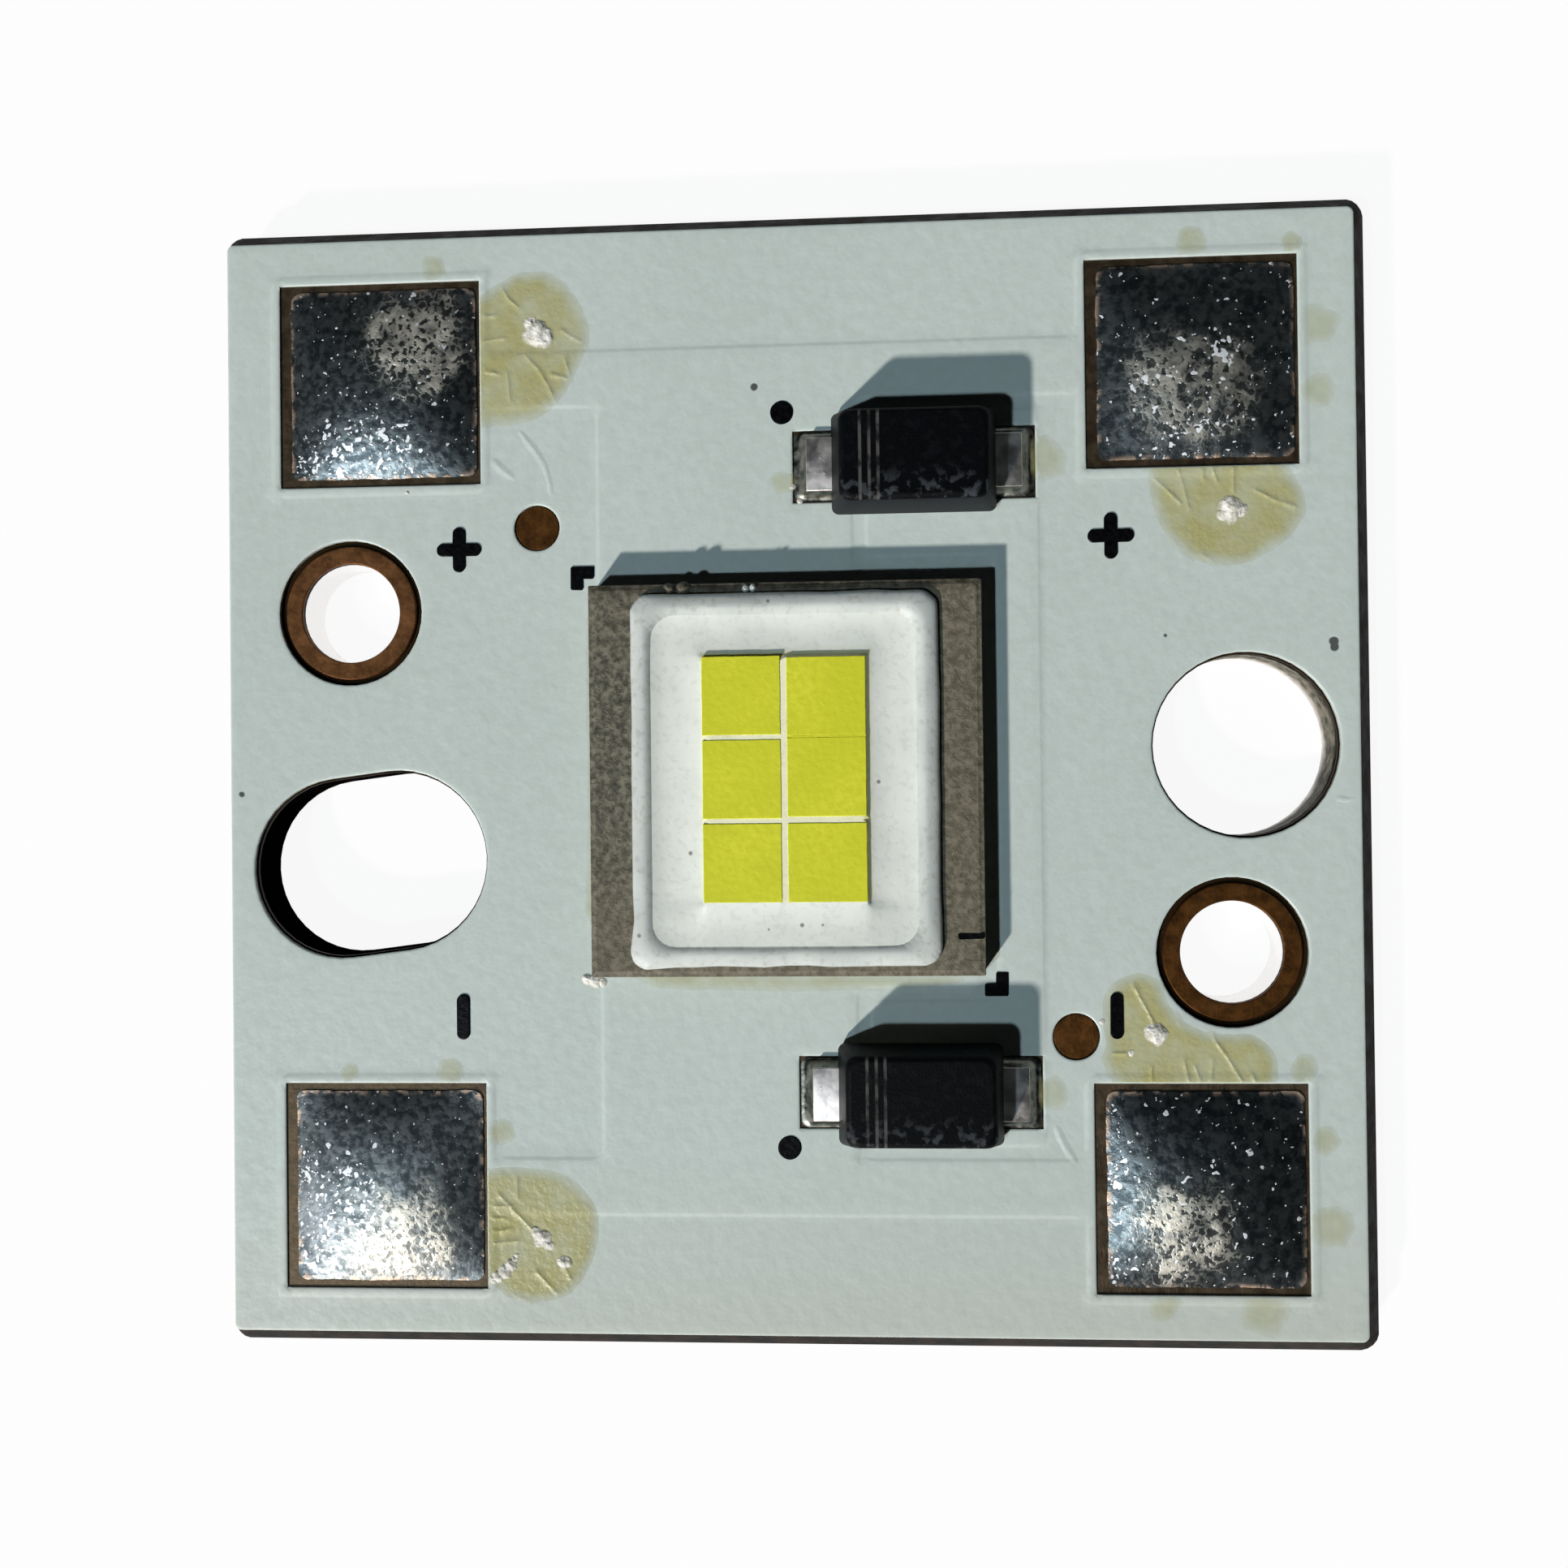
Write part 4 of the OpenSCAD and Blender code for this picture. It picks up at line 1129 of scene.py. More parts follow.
# %% Read outlines off the solids
def top_loops(node):
    """The closed outlines of a CAD node's top face: outer ones run anticlockwise, holes clockwise."""
    mesh = frame["nodes"][node].data
    places = [tuple(round(value / MM, 4) for value in vertex.co) for vertex in mesh.vertices]
    top = max(place[2] for place in places)
    edges = {}
    for polygon in mesh.polygons:
        corners = [places[index] for index in polygon.vertices]
        if min(corner[2] for corner in corners) > top - TOUCH:
            edges.update(dict.fromkeys(zip(corners, corners[1:] + corners[:1])))
    rim = {here: there for here, there in edges if (there, here) not in edges}
    loops = []
    while rim:
        here = next(iter(rim))
        loop = []
        while here in rim:
            loop.append(here[:2])
            here = rim.pop(here)
        loops.append(np.array(loop))
    return sorted(loops, key=lambda loop: -np.ptp(loop[:, 0]))


def depth_inside(points, loop):
    """How far points lie inside a closed outline; the value is below zero outside it."""
    start = loop[None]
    along = (np.roll(loop, -1, 0) - loop)[None]
    offset = points[:, None] - start
    share = np.clip((offset * along).sum(2) / (along * along).sum(2), 0, 1)
    distance = np.linalg.norm(offset - share[..., None] * along, axis=2).min(1)
    end_y = start[..., 1] + along[..., 1]
    crosses = (start[..., 1] > points[:, None, 1]) != (end_y > points[:, None, 1])
    slope = along[..., 0] / np.where(along[..., 1] == 0, 1, along[..., 1])
    right = points[:, None, 0] < start[..., 0] + (points[:, None, 1] - start[..., 1]) * slope
    inside = (crosses & right).sum(1) % 2 == 1
    return np.where(inside, distance, -distance)


MASK_CORNER = 0.12
SMALLEST_CUT = 3.0
FEWEST_ROUND = 9
CUT_BACK = 0.035

mask_loops = top_loops("solder_mask")
low, high = mask_loops[0].min(0), mask_loops[0].max(0)
mask_loops[0] = rounded_box((low + high) / 2, *(high - low), MASK_CORNER)
for number, loop in enumerate(mask_loops):
    if number > 0 and len(loop) >= FEWEST_ROUND and np.ptp(loop[:, 0]) > SMALLEST_CUT:
        mask_loops[number] = inset(loop, CUT_BACK)
foil_loops = [top_loops(node)[0] for node in ("positive_foil", "negative_foil", "link_foil")]
print("outlines in the coating:", len(mask_loops))

# %% [markdown]
# Thin sheets come three times: the coating, the silicone fill and the films of flux. A boolean cut would
# leave long thin faces that can't bend, so a sheet is a cloud of points, dense along its edges, that a
# triangulation joins up. Triangles outside the outline or inside a hole are then dropped.

# %% Build a thin sheet with holes
MERGE_DISTANCE = 1e-6


def triangulated(points, loops):
    """Triangles that fill the first loop and leave out the others; loops are lists of point numbers."""
    edges = [edge for loop in loops for edge in zip(loop, loop[1:] + loop[:1])]
    found = delaunay_2d_cdt([Vector(point) for point in points], edges, [], 0, MERGE_DISTANCE)
    places = np.array([tuple(place) for place in found[0]])
    triangles = np.array(found[2])
    middles = places[triangles].mean(1)
    keep = depth_inside(middles, points[loops[0]]) > 0
    for loop in loops[1:]:
        keep &= depth_inside(middles, points[loop]) < 0
    return places, triangles[keep], [ids[0] for ids in found[3]]


def sheet_mesh(name, loops, points, drops, height, bottom):
    """A closed sheet. Its first points are the loops', and each point lies below height by its drop."""
    numbers = []
    start = 0
    for loop in loops:
        numbers.append(list(range(start, start + len(loop))))
        start += len(loop)
    places, triangles, source = triangulated(points, numbers)
    top = at_height(places, height(places) - drops[source])
    under, under_triangles, under_source = triangulated(points[:start], numbers)
    upper = {number: index for index, number in enumerate(source)}
    lower = {number: index + len(top) for index, number in enumerate(under_source)}
    faces = triangles.tolist()
    faces += (under_triangles[:, ::-1] + len(top)).tolist()
    for loop in numbers:
        for here, there in zip(loop, loop[1:] + loop[:1]):
            faces.append((upper[there], upper[here], lower[here], lower[there]))
    return new_mesh(name, np.concatenate([top, at_height(under, bottom)]), faces)


print("points closer than this merge, in mm:", MERGE_DISTANCE)

# %% [markdown]
# A sheet bends only where it has points. Rows along the edges let it round off there, and an even grid
# fills the rest. Grid points too near an edge would make thin triangles, so they are left out.

# %% Points for a thin sheet
def rim_points(loops, rims):
    """Rows of points along each loop: how far they lie from it, and how far the surface drops there."""
    rows = [(inset(loop, distance), drop) for distance, drop in rims for loop in loops]
    points = np.concatenate([row for row, drop in rows])
    drops = np.concatenate([np.full(len(row), drop) for row, drop in rows])
    return points, drops


def clear_of(points, loops, distance):
    """Only the points that keep a distance from the outer loop and from every hole."""
    keep = depth_inside(points, loops[0]) > distance
    for hole in loops[1:]:
        keep &= depth_inside(points, hole) < -distance
    return points[keep]


def grid(low, high, step):
    """Evenly spaced points in a rectangle."""
    x, y = np.meshgrid(np.arange(low[0], high[0], step), np.arange(low[1], high[1], step))
    return np.column_stack([x.ravel(), y.ravel()])


print("points of a grid of 1 mm in steps of 0.2 mm:", len(grid((0, 0), (1, 1), 0.2)))

# %% [markdown]
# The coating was poured on and cured. It sags where no foil lies under it, so the foils' edges show as
# faint steps, and it rounds off at every opening. Bumps in the material could fake the steps, but they are
# wide enough to cast light and shade, so rows of points run along every edge and step and carry the real
# heights.

# %% Solder mask
MASK_RIMS = [(0.0, 0.015), (0.012, 0.006), (0.028, 0.002), (0.05, 0.0)]
MASK_SAG = 0.014
SAG_WIDTH = 0.09
SAG_ROWS = (-0.05, -0.025, 0.0, 0.025, 0.05)
OPENING_STEP = 0.12
MASK_STEP = 0.2
OPENING_CLEAR = 0.075

mask_low, mask_high = box_mm("solder_mask")


def mask_height(points):
    """The coating's surface: full height over the foils, and a little lower beside them."""
    depth = np.max([depth_inside(points, loop) for loop in foil_loops], 0)
    share = np.clip(depth / SAG_WIDTH + 0.5, 0, 1)
    return mask_high[2] - MASK_SAG * (1 - share * share * (3 - 2 * share))


fine_loops = [divided(loop, OPENING_STEP) for loop in mask_loops]
rims, drops = rim_points(fine_loops, MASK_RIMS)
evenly = grid(mask_low, mask_high, MASK_STEP)
off_steps = np.min([abs(depth_inside(evenly, loop)) for loop in foil_loops], 0)
inner = [evenly[off_steps > SAG_WIDTH]]
inner += [inset(divided(loop, MASK_STEP), row) for loop in foil_loops for row in SAG_ROWS]
inner = clear_of(np.concatenate(inner), fine_loops, OPENING_CLEAR)
points = np.concatenate([rims, inner])
drops = np.concatenate([drops, np.zeros(len(inner))])
mask_mesh = sheet_mesh("pale_solder_mask", fine_loops, points, drops, mask_height, mask_low[2])
add_piece(mask_mesh, pale_coating, "mask", "solder_mask")
print("coating triangles:", len(mask_mesh.polygons))

# %% [markdown]
# The printed marks are ink that was squeezed through a screen, so their corners are round, their edges
# slope and their outlines waver. A picture on the coating would be flat. Their outlines come from the
# solids again, and only convex corners are rounded.

# %% Printed marks
INK_CORNER = 0.105
INK_EDGE = 0.014
INK_SINK = 0.02
INK_WAVER = 0.008
INK_WAVE = 0.2
DOT_POINTS = 48


def round_corners(outline, radius):
    """Replace each convex corner of an anticlockwise outline by an arc."""
    points = []
    for before, here, after in zip(np.roll(outline, 1, 0), outline, np.roll(outline, -1, 0)):
        back = (before - here) / np.linalg.norm(before - here)
        ahead = (after - here) / np.linalg.norm(after - here)
        if back[0] * ahead[1] - back[1] * ahead[0] > 0:
            points.append(here)
            continue
        centre = here + radius * (back + ahead)
        for step in range(ROUND_STEPS + 1):
            angle = step / ROUND_STEPS * math.pi / 2
            points.append(centre - radius * (math.cos(angle) * ahead + math.sin(angle) * back))
    return np.array(points)


MARKS = {"plus_left": 1, "plus_right": 1, "minus_left": 1, "minus_right": 1,
         "corner_mark_upper": 0.3, "corner_mark_lower": 0.3}
DOTS = ("dot_upper", "dot_lower")


def disc(node, count=CIRCLE_POINTS):
    """The outline of a round CAD node."""
    low, high = box_mm(node)
    return circle((low + high) / 2, (high[0] - low[0]) / 2, count)


def print_mark(node, outline, seed):
    """A printed mark that stands for a CAD node."""
    low, high = box_mm(node)
    wavering = wobble(outline, INK_WAVER, INK_WAVE, seed)
    mesh = soft_slab("ink_" + node, wavering, low[2] - INK_SINK, high[2], INK_EDGE)
    add_piece(mesh, black_ink, "ink", node)


for node, share in MARKS.items():
    print_mark(node, round_corners(top_loops(node)[0], INK_CORNER * share), seed=3)
for node in DOTS:
    print_mark(node, disc(node, DOT_POINTS), seed=4)
print("printed marks:", len(MARKS) + len(DOTS))

# %% [markdown]
# The copper rings and the two round aiming marks are etched out of the foil. Etching eats into the upper
# edge, so it is a little rounded. A lathe tool could turn them, but the outlines are circles already: a
# ring is a closed stack of six of them, and a disc is a soft slab.

# %% Copper rings and fiducials
ETCH_EDGE = 0.02

for side, ring_copper in (("left", red_copper), ("right", brown_copper)):
    loops = top_loops(side + "_ring")
    low, high = box_mm(side + "_ring")
    middle = (low + high) / 2
    outer, bore = [np.ptp(loop[:, 0]) / 2 for loop in loops]
    profile = [(outer, low[2]), (outer, high[2] - ETCH_EDGE), (outer - ETCH_EDGE, high[2]),
               (bore + ETCH_EDGE, high[2]), (bore, high[2] - ETCH_EDGE), (bore, low[2])]
    rings = [at_height(circle(middle, radius), z) for radius, z in profile]
    mesh = stack_mesh("copper_" + side + "_ring", rings, True)
    add_piece(mesh, ring_copper, "copper", side + "_ring")
    node = side + "_fiducial"
    low, high = box_mm(node)
    mesh = soft_slab("copper_" + node, disc(node), low[2], high[2], ETCH_EDGE)
    add_piece(mesh, brown_copper, "copper", node)
    print(side, "ring, outer and inner radius in mm:", round(outer, 2), round(bore, 2))

# %% [markdown]
# Each wire pad carries a pillow of solder. Surface tension pulls it into a low dome that ends in a thin
# rim, and it never cools quite even. A cloth or metaball would be hard to steer, so the pillow is a web of
# rings round the middle, lifted by a formula: a dome with a crisp rim, plus soft random dents.

# %% Solder on the wire pads
PAD_RINGS = 44
RING_POWER = 1.2
PAD_CORNER = 0.17
PAD_CLEAR = 0.02
PAD_STEP = 0.07
PAD_WANDER = (0.02, 0.6)
PAD_ROUGH = (0.012, 0.12)
PAD_RIM = 0.025
PAD_POWER = 2.3
PAD_DENT = 0.01
DENT_SCALE = 1.8
DENT_FRACTAL = (1.0, 2.0, 3)
PAD_SEED = 3.0
RIM_STEPS = (0, 2, 5)
RIM_SHARES = (1.0, 1.0, 0.0)


def pillow_mesh(name, node, seed):
    """A dome of solder inside the box of a CAD node."""
    low, high = box_mm(node)
    middle = ((low + high) / 2)[:2]
    size = high - low
    even = divided(rounded_box(middle, *(size[:2] - PAD_CLEAR), PAD_CORNER), PAD_STEP)
    outline = wobble(wobble(even, *PAD_WANDER, seed), *PAD_ROUGH, seed)
    rings = [at_height(outline, low[2])]
    for step in range(PAD_RINGS):
        share = 1 - (step / PAD_RINGS) ** RING_POWER
        ring = middle + (outline - middle) * share
        across = 1 - np.minimum(abs(ring - middle) / (size[:2] / 2), 1) ** PAD_POWER
        dome = PAD_RIM + (size[2] - PAD_RIM) * across[:, 0] * across[:, 1]
        spots = [Vector((x, y, seed)) * DENT_SCALE for x, y in ring]
        dents = np.array([noise.fractal(spot, *DENT_FRACTAL) for spot in spots])
        lift = np.minimum(dome + PAD_DENT * dents * (1 - share), size[2])
        rings.append(at_height(ring, low[2] + lift))
    mesh = stack_mesh(name, rings)
    shares = np.interp(np.arange(len(rings)), RIM_STEPS, RIM_SHARES)
    store(mesh, "rim", np.repeat(shares, len(outline)))
    return mesh


for order, corner in enumerate(PAD_PATCHES):
    mesh = pillow_mesh("solder_" + corner, "pad_solder_" + corner, PAD_SEED + order)
    add_piece(mesh, tinned_pads[corner], "solder", "pad_solder_" + corner)
print("solder pillows:", len(PAD_PATCHES))

# %% [markdown]
# The package stands on a sawn ceramic plate. The saw leaves a tiny step along the upper edge, which shows
# as a thin line. A bevel would round that step away, so the plate is a stack of squares that follows its
# profile. A dark bar near one corner marks the cathode's side. No solid stands for it, so it replaces none.

# %% Ceramic plate
CERAMIC_PROFILE = [(0.0, -0.6), (0.0, -0.035), (0.012, -0.022), (0.07, -0.016), (0.084, -0.004), (0.1, 0.0)]
CORNER_RADIUS = 0.03
BAR_SIZE = (0.46, 0.11)
BAR_UP = -2.76
BAR_HEIGHT = 0.006
BAR_SINK = 0.01
BAR_EDGE = 0.004
BAR_CORNER = 0.03
BAR_INSET = 0.02
BAR_WAVER = (0.015, 0.1)

low, high = box_mm("led_ceramic")
led_middle = ((low + high) / 2)[:2]
led_side = high[0] - low[0]
rings = []
for distance, drop in CERAMIC_PROFILE:
    side = led_side - 2 * distance
    outline = rounded_box(led_middle, side, side, CORNER_RADIUS)
    rings.append(at_height(outline, max(low[2], high[2] + drop)))
add_piece(stack_mesh("ceramic_plate", rings), grey_ceramic, "ceramic", "led_ceramic")
ceramic_top = high[2]
bar_middle = (high[0] - BAR_SIZE[0] / 2 - BAR_INSET, BAR_UP)
outline = wobble(rounded_box(bar_middle, *BAR_SIZE, BAR_CORNER), *BAR_WAVER, seed=5)
mesh = soft_slab("cathode_bar", outline, ceramic_top - BAR_SINK, ceramic_top + BAR_HEIGHT, BAR_EDGE)
add_piece(mesh, black_ink, "ink")
print("ceramic side in mm:", round(led_side, 2))

# %% [markdown]
# The dam is a bead of silicone drawn round the chips with a nozzle: it falls off gently to the outside, its
# outer edge wanders, and where the bead was started and ended, at one corner, it bulges. A curve with a
# round bevel would be even all along, so the dam is a closed stack of outlines, each moved by its share of
# the wandering and of the bulge.

# %% White dam
DAM_PROFILE = [(0.0, 0.0), (0.0, 0.06), (0.012, 0.1), (0.04, 0.14), (0.09, 0.168), (0.15, 0.19), (0.2, 0.202),
               (0.24, 0.205), (0.28, 0.197), (0.32, 0.178), (0.36, 0.15), (0.4, 0.11), (0.4, 0.0)]
DAM_WIDTH = DAM_PROFILE[-1][0]
DAM_WANDER = 0.03
WANDER_WAVE = 0.7
WANDER_ROOM = 1.2
DAM_ROUGH = 0.016
ROUGH_WAVE = 0.16
DAM_CORNER = 0.33
CORNER_GROWTH = 0.22
DAM_SPLITS = 12
BULGE_PLACE = (-2.45, -3.1)
BULGE_SIZE = 0.09
BULGE_WIDTH = 0.4

low, high = box_mm("led_dam")
dam_middle = ((low + high) / 2)[:2]
dam_size = (high - low)[:2] - WANDER_ROOM * DAM_WANDER


def dam_outline(distance):
    """The dam's outline at a distance inwards; the outer edge wanders and bulges, the inner one is even."""
    corner = DAM_CORNER + CORNER_GROWTH * distance
    outline = split_edges(rounded_box(dam_middle, *(dam_size - 2 * distance), corner), DAM_SPLITS)
    outer = 1 - distance / DAM_WIDTH
    outward = outline - dam_middle
    outward = outward / np.linalg.norm(outward, axis=1)[:, None]
    near = np.exp(-(np.linalg.norm(outline - BULGE_PLACE, axis=1) / BULGE_WIDTH) ** 2)
    wandering = wobble(outline, DAM_WANDER * outer, WANDER_WAVE, seed=6)
    rough = wobble(wandering, DAM_ROUGH * outer, ROUGH_WAVE, seed=7)
    return rough + outward * (BULGE_SIZE * outer * near)[:, None]


rings = [at_height(dam_outline(distance), ceramic_top + rise) for distance, rise in DAM_PROFILE]
dam_mesh = stack_mesh("white_dam", rings, True)
add_piece(dam_mesh, grey_silicone, "white_silicone", "led_dam")
print("dam faces:", len(dam_mesh.polygons))

# %% [markdown]
# The fill is poured inside the dam, laps onto it and shrinks while it cures. It sticks to the dam and to
# the tiles, so it climbs to both in a hollow curve. A fluid simulation would give such curves after a long
# wait. Two squares of distances, one from the dam and one from the tiles, give them at once.

# %% Shape of the white fill
FILL_SIDES = {
    "left": {"floor": 0.1, "to_tiles": 0.075, "to_dam": 0.05},
    "right": {"floor": 0.085, "to_tiles": 0.08, "to_dam": 0.02},
    "bottom": {"floor": 0.168, "to_tiles": 0.055, "to_dam": 0.01},
    "top": {"floor": 0.09, "to_tiles": 0.055, "to_dam": 0.035},
}
FILL_LAP = 0.04
TILE_REACH = 0.5
DAM_REACH = 0.32
GAP_RISE = 0.215
TIGHT_RISE = 0.2285
TIGHT_TILES = (1, 3)
TIGHT_GAP = 0.02
LEAST_SUM = 1e-9
TILE_STEP = 0.1
TILE_NODES = ["phosphor_tile_%d" % number for number in range(1, 7)]

tile_boxes = [box_mm(node) for node in TILE_NODES]
well = dam_outline(DAM_WIDTH - FILL_LAP)
tile_loops = []
for low, high in tile_boxes:
    corners = np.array([(low[0], low[1]), (low[0], high[1]), (high[0], high[1]), (high[0], low[1])])
    tile_loops.append(divided(corners, TILE_STEP))
cluster_low = np.min([low for low, high in tile_boxes], 0)[:2]
cluster_high = np.max([high for low, high in tile_boxes], 0)[:2]


def in_tight_gap(points):
    """Which points lie between the two tiles that nearly touch."""
    upper, lower = (tile_boxes[index] for index in TIGHT_TILES)
    middle = (upper[0][1] + lower[1][1]) / 2
    return (points[:, 0] > upper[0][0]) & (abs(points[:, 1] - middle) < TIGHT_GAP)


def fill_height(points):
    """The fill's surface: it climbs to the dam and to the tiles, and fills the gaps between the tiles."""
    low, high = np.maximum(cluster_low - points, 0), np.maximum(points - cluster_high, 0)
    away = np.linalg.norm(low + high, axis=1)
    depth = np.maximum(depth_inside(points, well), 0)
    past = np.column_stack([low[:, 0], high[:, 0], low[:, 1], high[:, 1]])
    shares = past / np.maximum(past.sum(1), LEAST_SUM)[:, None]
    level, to_tiles, to_dam = (shares @ [side[key] for side in FILL_SIDES.values()]
                               for key in ("floor", "to_tiles", "to_dam"))
    rise = level + to_tiles * np.maximum(1 - away / TILE_REACH, 0) ** 2
    rise += to_dam * np.maximum(1 - depth / DAM_REACH, 0) ** 2
    gap = np.where(in_tight_gap(points), TIGHT_RISE, GAP_RISE)
    return ceramic_top + np.where(away > 0, rise, gap)


print("corners of the six tiles in mm:", cluster_low.round(2), cluster_high.round(2))

# %% [markdown]
# The fill is a sheet with six holes for the tiles. Just behind the tiles, as the lamps see them, it catches
# their yellow light and looks olive. Real bounced light is too weak to show that, so the mesh stores how
# near a point lies and the finish mixes the colour in. Between the tiles the fill is cream, and where two
# tiles nearly touch, the gap looks as yellow as they are.

# %% White fill
OLIVE_WIDTH = 0.07
WELL_ROWS = (0.04, 0.09, 0.15, 0.22, 0.3)
CLUSTER_ROW = 0.05
CLUSTER_CORNER = 0.01
FILL_MARGIN = 0.9
FILL_STEP = 0.08
FILL_CLEAR = 0.012


def behind_tiles(points):
    """1 just behind the tiles, at their upper and right sides, and 0 away from there."""
    past = (points - cluster_high).max(1)
    beside = (points > cluster_low).all(1) & (past > -TOUCH)
    return np.where(beside, np.exp(-(past / OLIVE_WIDTH) ** 2), 0)


loops = [well] + tile_loops
cluster_size = cluster_high - cluster_low
cluster = rounded_box((cluster_low + cluster_high) / 2, *cluster_size, CLUSTER_CORNER)
inner = [inset(well, distance) for distance in WELL_ROWS]
inner.append(inset(divided(cluster, FILL_STEP), -CLUSTER_ROW))
inner.append(grid(cluster_low - FILL_MARGIN, cluster_high + FILL_MARGIN, FILL_STEP))
points = np.concatenate(loops + [clear_of(np.concatenate(inner), loops, FILL_CLEAR)])
fill_mesh = sheet_mesh("white_fill", loops, points, np.zeros(len(points)), fill_height, ceramic_top)
add_piece(fill_mesh, white_silicone, "white_silicone", "led_fill")
fill_mesh.materials.append(cream_silicone)
fill_mesh.materials.append(yellow_phosphor)
middles = np.array([polygon.center for polygon in fill_mesh.polygons])[:, :2] / MM
in_gaps = (middles > cluster_low).all(1) & (middles < cluster_high).all(1)
numbers = np.where(in_gaps, np.where(in_tight_gap(middles), 2, 1), 0)
fill_mesh.polygons.foreach_set("material_index", numbers.astype(np.int32))
corners = np.array([vertex.co for vertex in fill_mesh.vertices])[:, :2] / MM
store(fill_mesh, "behind_tiles", behind_tiles(corners))
print("fill triangles:", len(fill_mesh.polygons))

# %% [markdown]
# The six tiles are diced from one plate, so they are square with crisp edges, only just broken by the saw.
# A plain cube would look too perfect, so each outline wavers by a few thousandths of a millimetre.

# %% Phosphor tiles
TILE_EDGE = 0.012
TILE_CORNER = 0.02
TILE_WAVER = (0.006, 0.3)

for node, (low, high) in zip(TILE_NODES, tile_boxes):
    outline = rounded_box((low + high) / 2, *(high - low)[:2], TILE_CORNER)
    outline = wobble(divided(outline, TILE_STEP), *TILE_WAVER, high[0])
    mesh = soft_slab("yellow_" + node, outline, low[2], high[2], TILE_EDGE)
    add_piece(mesh, yellow_phosphor, "phosphor", node)
print("tiles:", len(TILE_NODES))

# %% [markdown]
# Each diode is a block of epoxy moulded round two flat leads. A mould needs draft, so the sides lean in
# from the parting line, both up and down, and the edges are round. A cube with a bevel has no draft, so the
# body is a stack of outlines again. The leads are stamped strips: copies of the solids with all edges
# rounded.

# %% Diode bodies and leads
BODY_CORNER = 0.13
TOP_CORNER = 0.2
BODY_EDGE = 0.1
BODY_STEPS = 4
TOP_GROWTH = 0.01
PARTING_UP = 0.16
PARTING_DRAFT = 0.03
LEAD_EDGE = 0.018


def body_mesh(name, node):
    """A moulded block that leans in from its parting line."""
    low, high = box_mm(node)
    points = np.array([vertex.co for vertex in frame["nodes"][node].data.vertices]) / MM
    top = points[points[:, 2] > high[2] - TOUCH]
    middle = ((low + high) / 2)[:2]
    foot_size = (high - low)[:2]
    top_size = np.ptp(top, 0)[:2]
    foot = rounded_box(middle, *(foot_size - 2 * PARTING_DRAFT), BODY_CORNER)
    parting = rounded_box(middle, *foot_size, BODY_CORNER)
    rings = [at_height(foot, low[2]), at_height(parting, low[2] + PARTING_UP)]
    for step in range(BODY_STEPS + 1):
        angle = step / BODY_STEPS * math.pi / 2
        shrink = 2 * BODY_EDGE * (1 - math.cos(angle))
        outline = rounded_box(middle, *(top_size + TOP_GROWTH - shrink), TOP_CORNER)
        rings.append(at_height(outline, high[2] - BODY_EDGE * (1 - math.sin(angle))))
    return stack_mesh(name, rings)


for diode in DIODES:
    mesh = body_mesh(diode + "mould", diode + "body")
    add_piece(mesh, black_mould[diode], "mould", diode + "body")
    for end in ("cathode_lead", "anode_lead"):
        shape = welded_copy(diode + end)
        round_edges(shape, shape.edges[:], LEAD_EDGE)
        mesh = finished_mesh(diode + "tin_" + end, shape)
        add_piece(mesh, bright_tin, "tinned_lead", diode + end)
print("diodes:", len(DIODES))

# %% [markdown]
# Molten solder wets the lead and climbs its sides in a hollow curve. A chamfer would look like putty. The
# joint is a sweep instead: a path runs round the lead's end, and from each of its points a hollow slope
# goes down and out to the joint's edge.

# %% Solder joints of the diodes
SLOPE_STEPS = 8
JOINT_FOOT = 0.045
LEAD_CORNER = 0.05
JOINT_CORNER = 0.14
JOINT_WAVER = (0.012, 0.3)
STRAIGHT_STEPS = 4


def path_round(inner_x, end_x, low_y, high_y, radius):
    """A path round three sides of a lead's end, with round corners."""
    side = math.copysign(radius, end_x - inner_x)
    straight = np.linspace(inner_x, end_x - side, STRAIGHT_STEPS + 1)[:-1]
    lower = [(x, low_y) for x in straight]
    for angle in np.linspace(0, math.pi / 2, ROUND_STEPS + 1):
        lower.append((end_x - side * (1 - math.sin(angle)), low_y + radius * (1 - math.cos(angle))))
    upper = [(x, high_y + low_y - y) for x, y in reversed(lower)]
    return np.array(lower + upper)


def joint_mesh(name, joint, lead):
    """A hollow slope of solder round a lead's end."""
    low, high = box_mm(joint)
    lead_low, lead_high = box_mm(lead)
    at_left = low[0] < lead_low[0]
    ends = (high[0], lead_low[0], low[0]) if at_left else (low[0], lead_high[0], high[0])
    inner = path_round(ends[0], ends[1], lead_low[1], lead_high[1], LEAD_CORNER)
    outer = path_round(ends[0], ends[2], low[1], high[1], JOINT_CORNER)
    outer = wobble(outer, *JOINT_WAVER, low[1])
    rings = []
    for near, far in zip(inner, outer):
        ring = [(*near, low[2])]
        for step in range(SLOPE_STEPS + 1):
            share = step / SLOPE_STEPS
            rise = JOINT_FOOT + (high[2] - low[2] - JOINT_FOOT) * (1 - share) ** 2
            ring.append((*(near + (far - near) * share), low[2] + rise))
        ring.append((*far, low[2]))
        rings.append(np.array(ring))
    mesh = stack_mesh(name, rings)
    if at_left:
        mesh.flip_normals()
    return mesh


for diode in DIODES:
    for end in ("cathode", "anode"):
        mesh = joint_mesh(diode + "solder_" + end, diode + end + "_joint", diode + end + "_lead")
        add_piece(mesh, joint_solder, "solder", diode + end + "_joint")
print("solder joints:", 2 * len(DIODES))

# %% [markdown]
# Flux spread from the pads while the wires were soldered and dried to thin skins with sharp folds. A
# painted stain would do for the colour, but the folds catch the light, so each skin is a sheet of its own
# on the coating. A fold is a line of a few points, and five rows of points beside it let the sheet bend
# there.

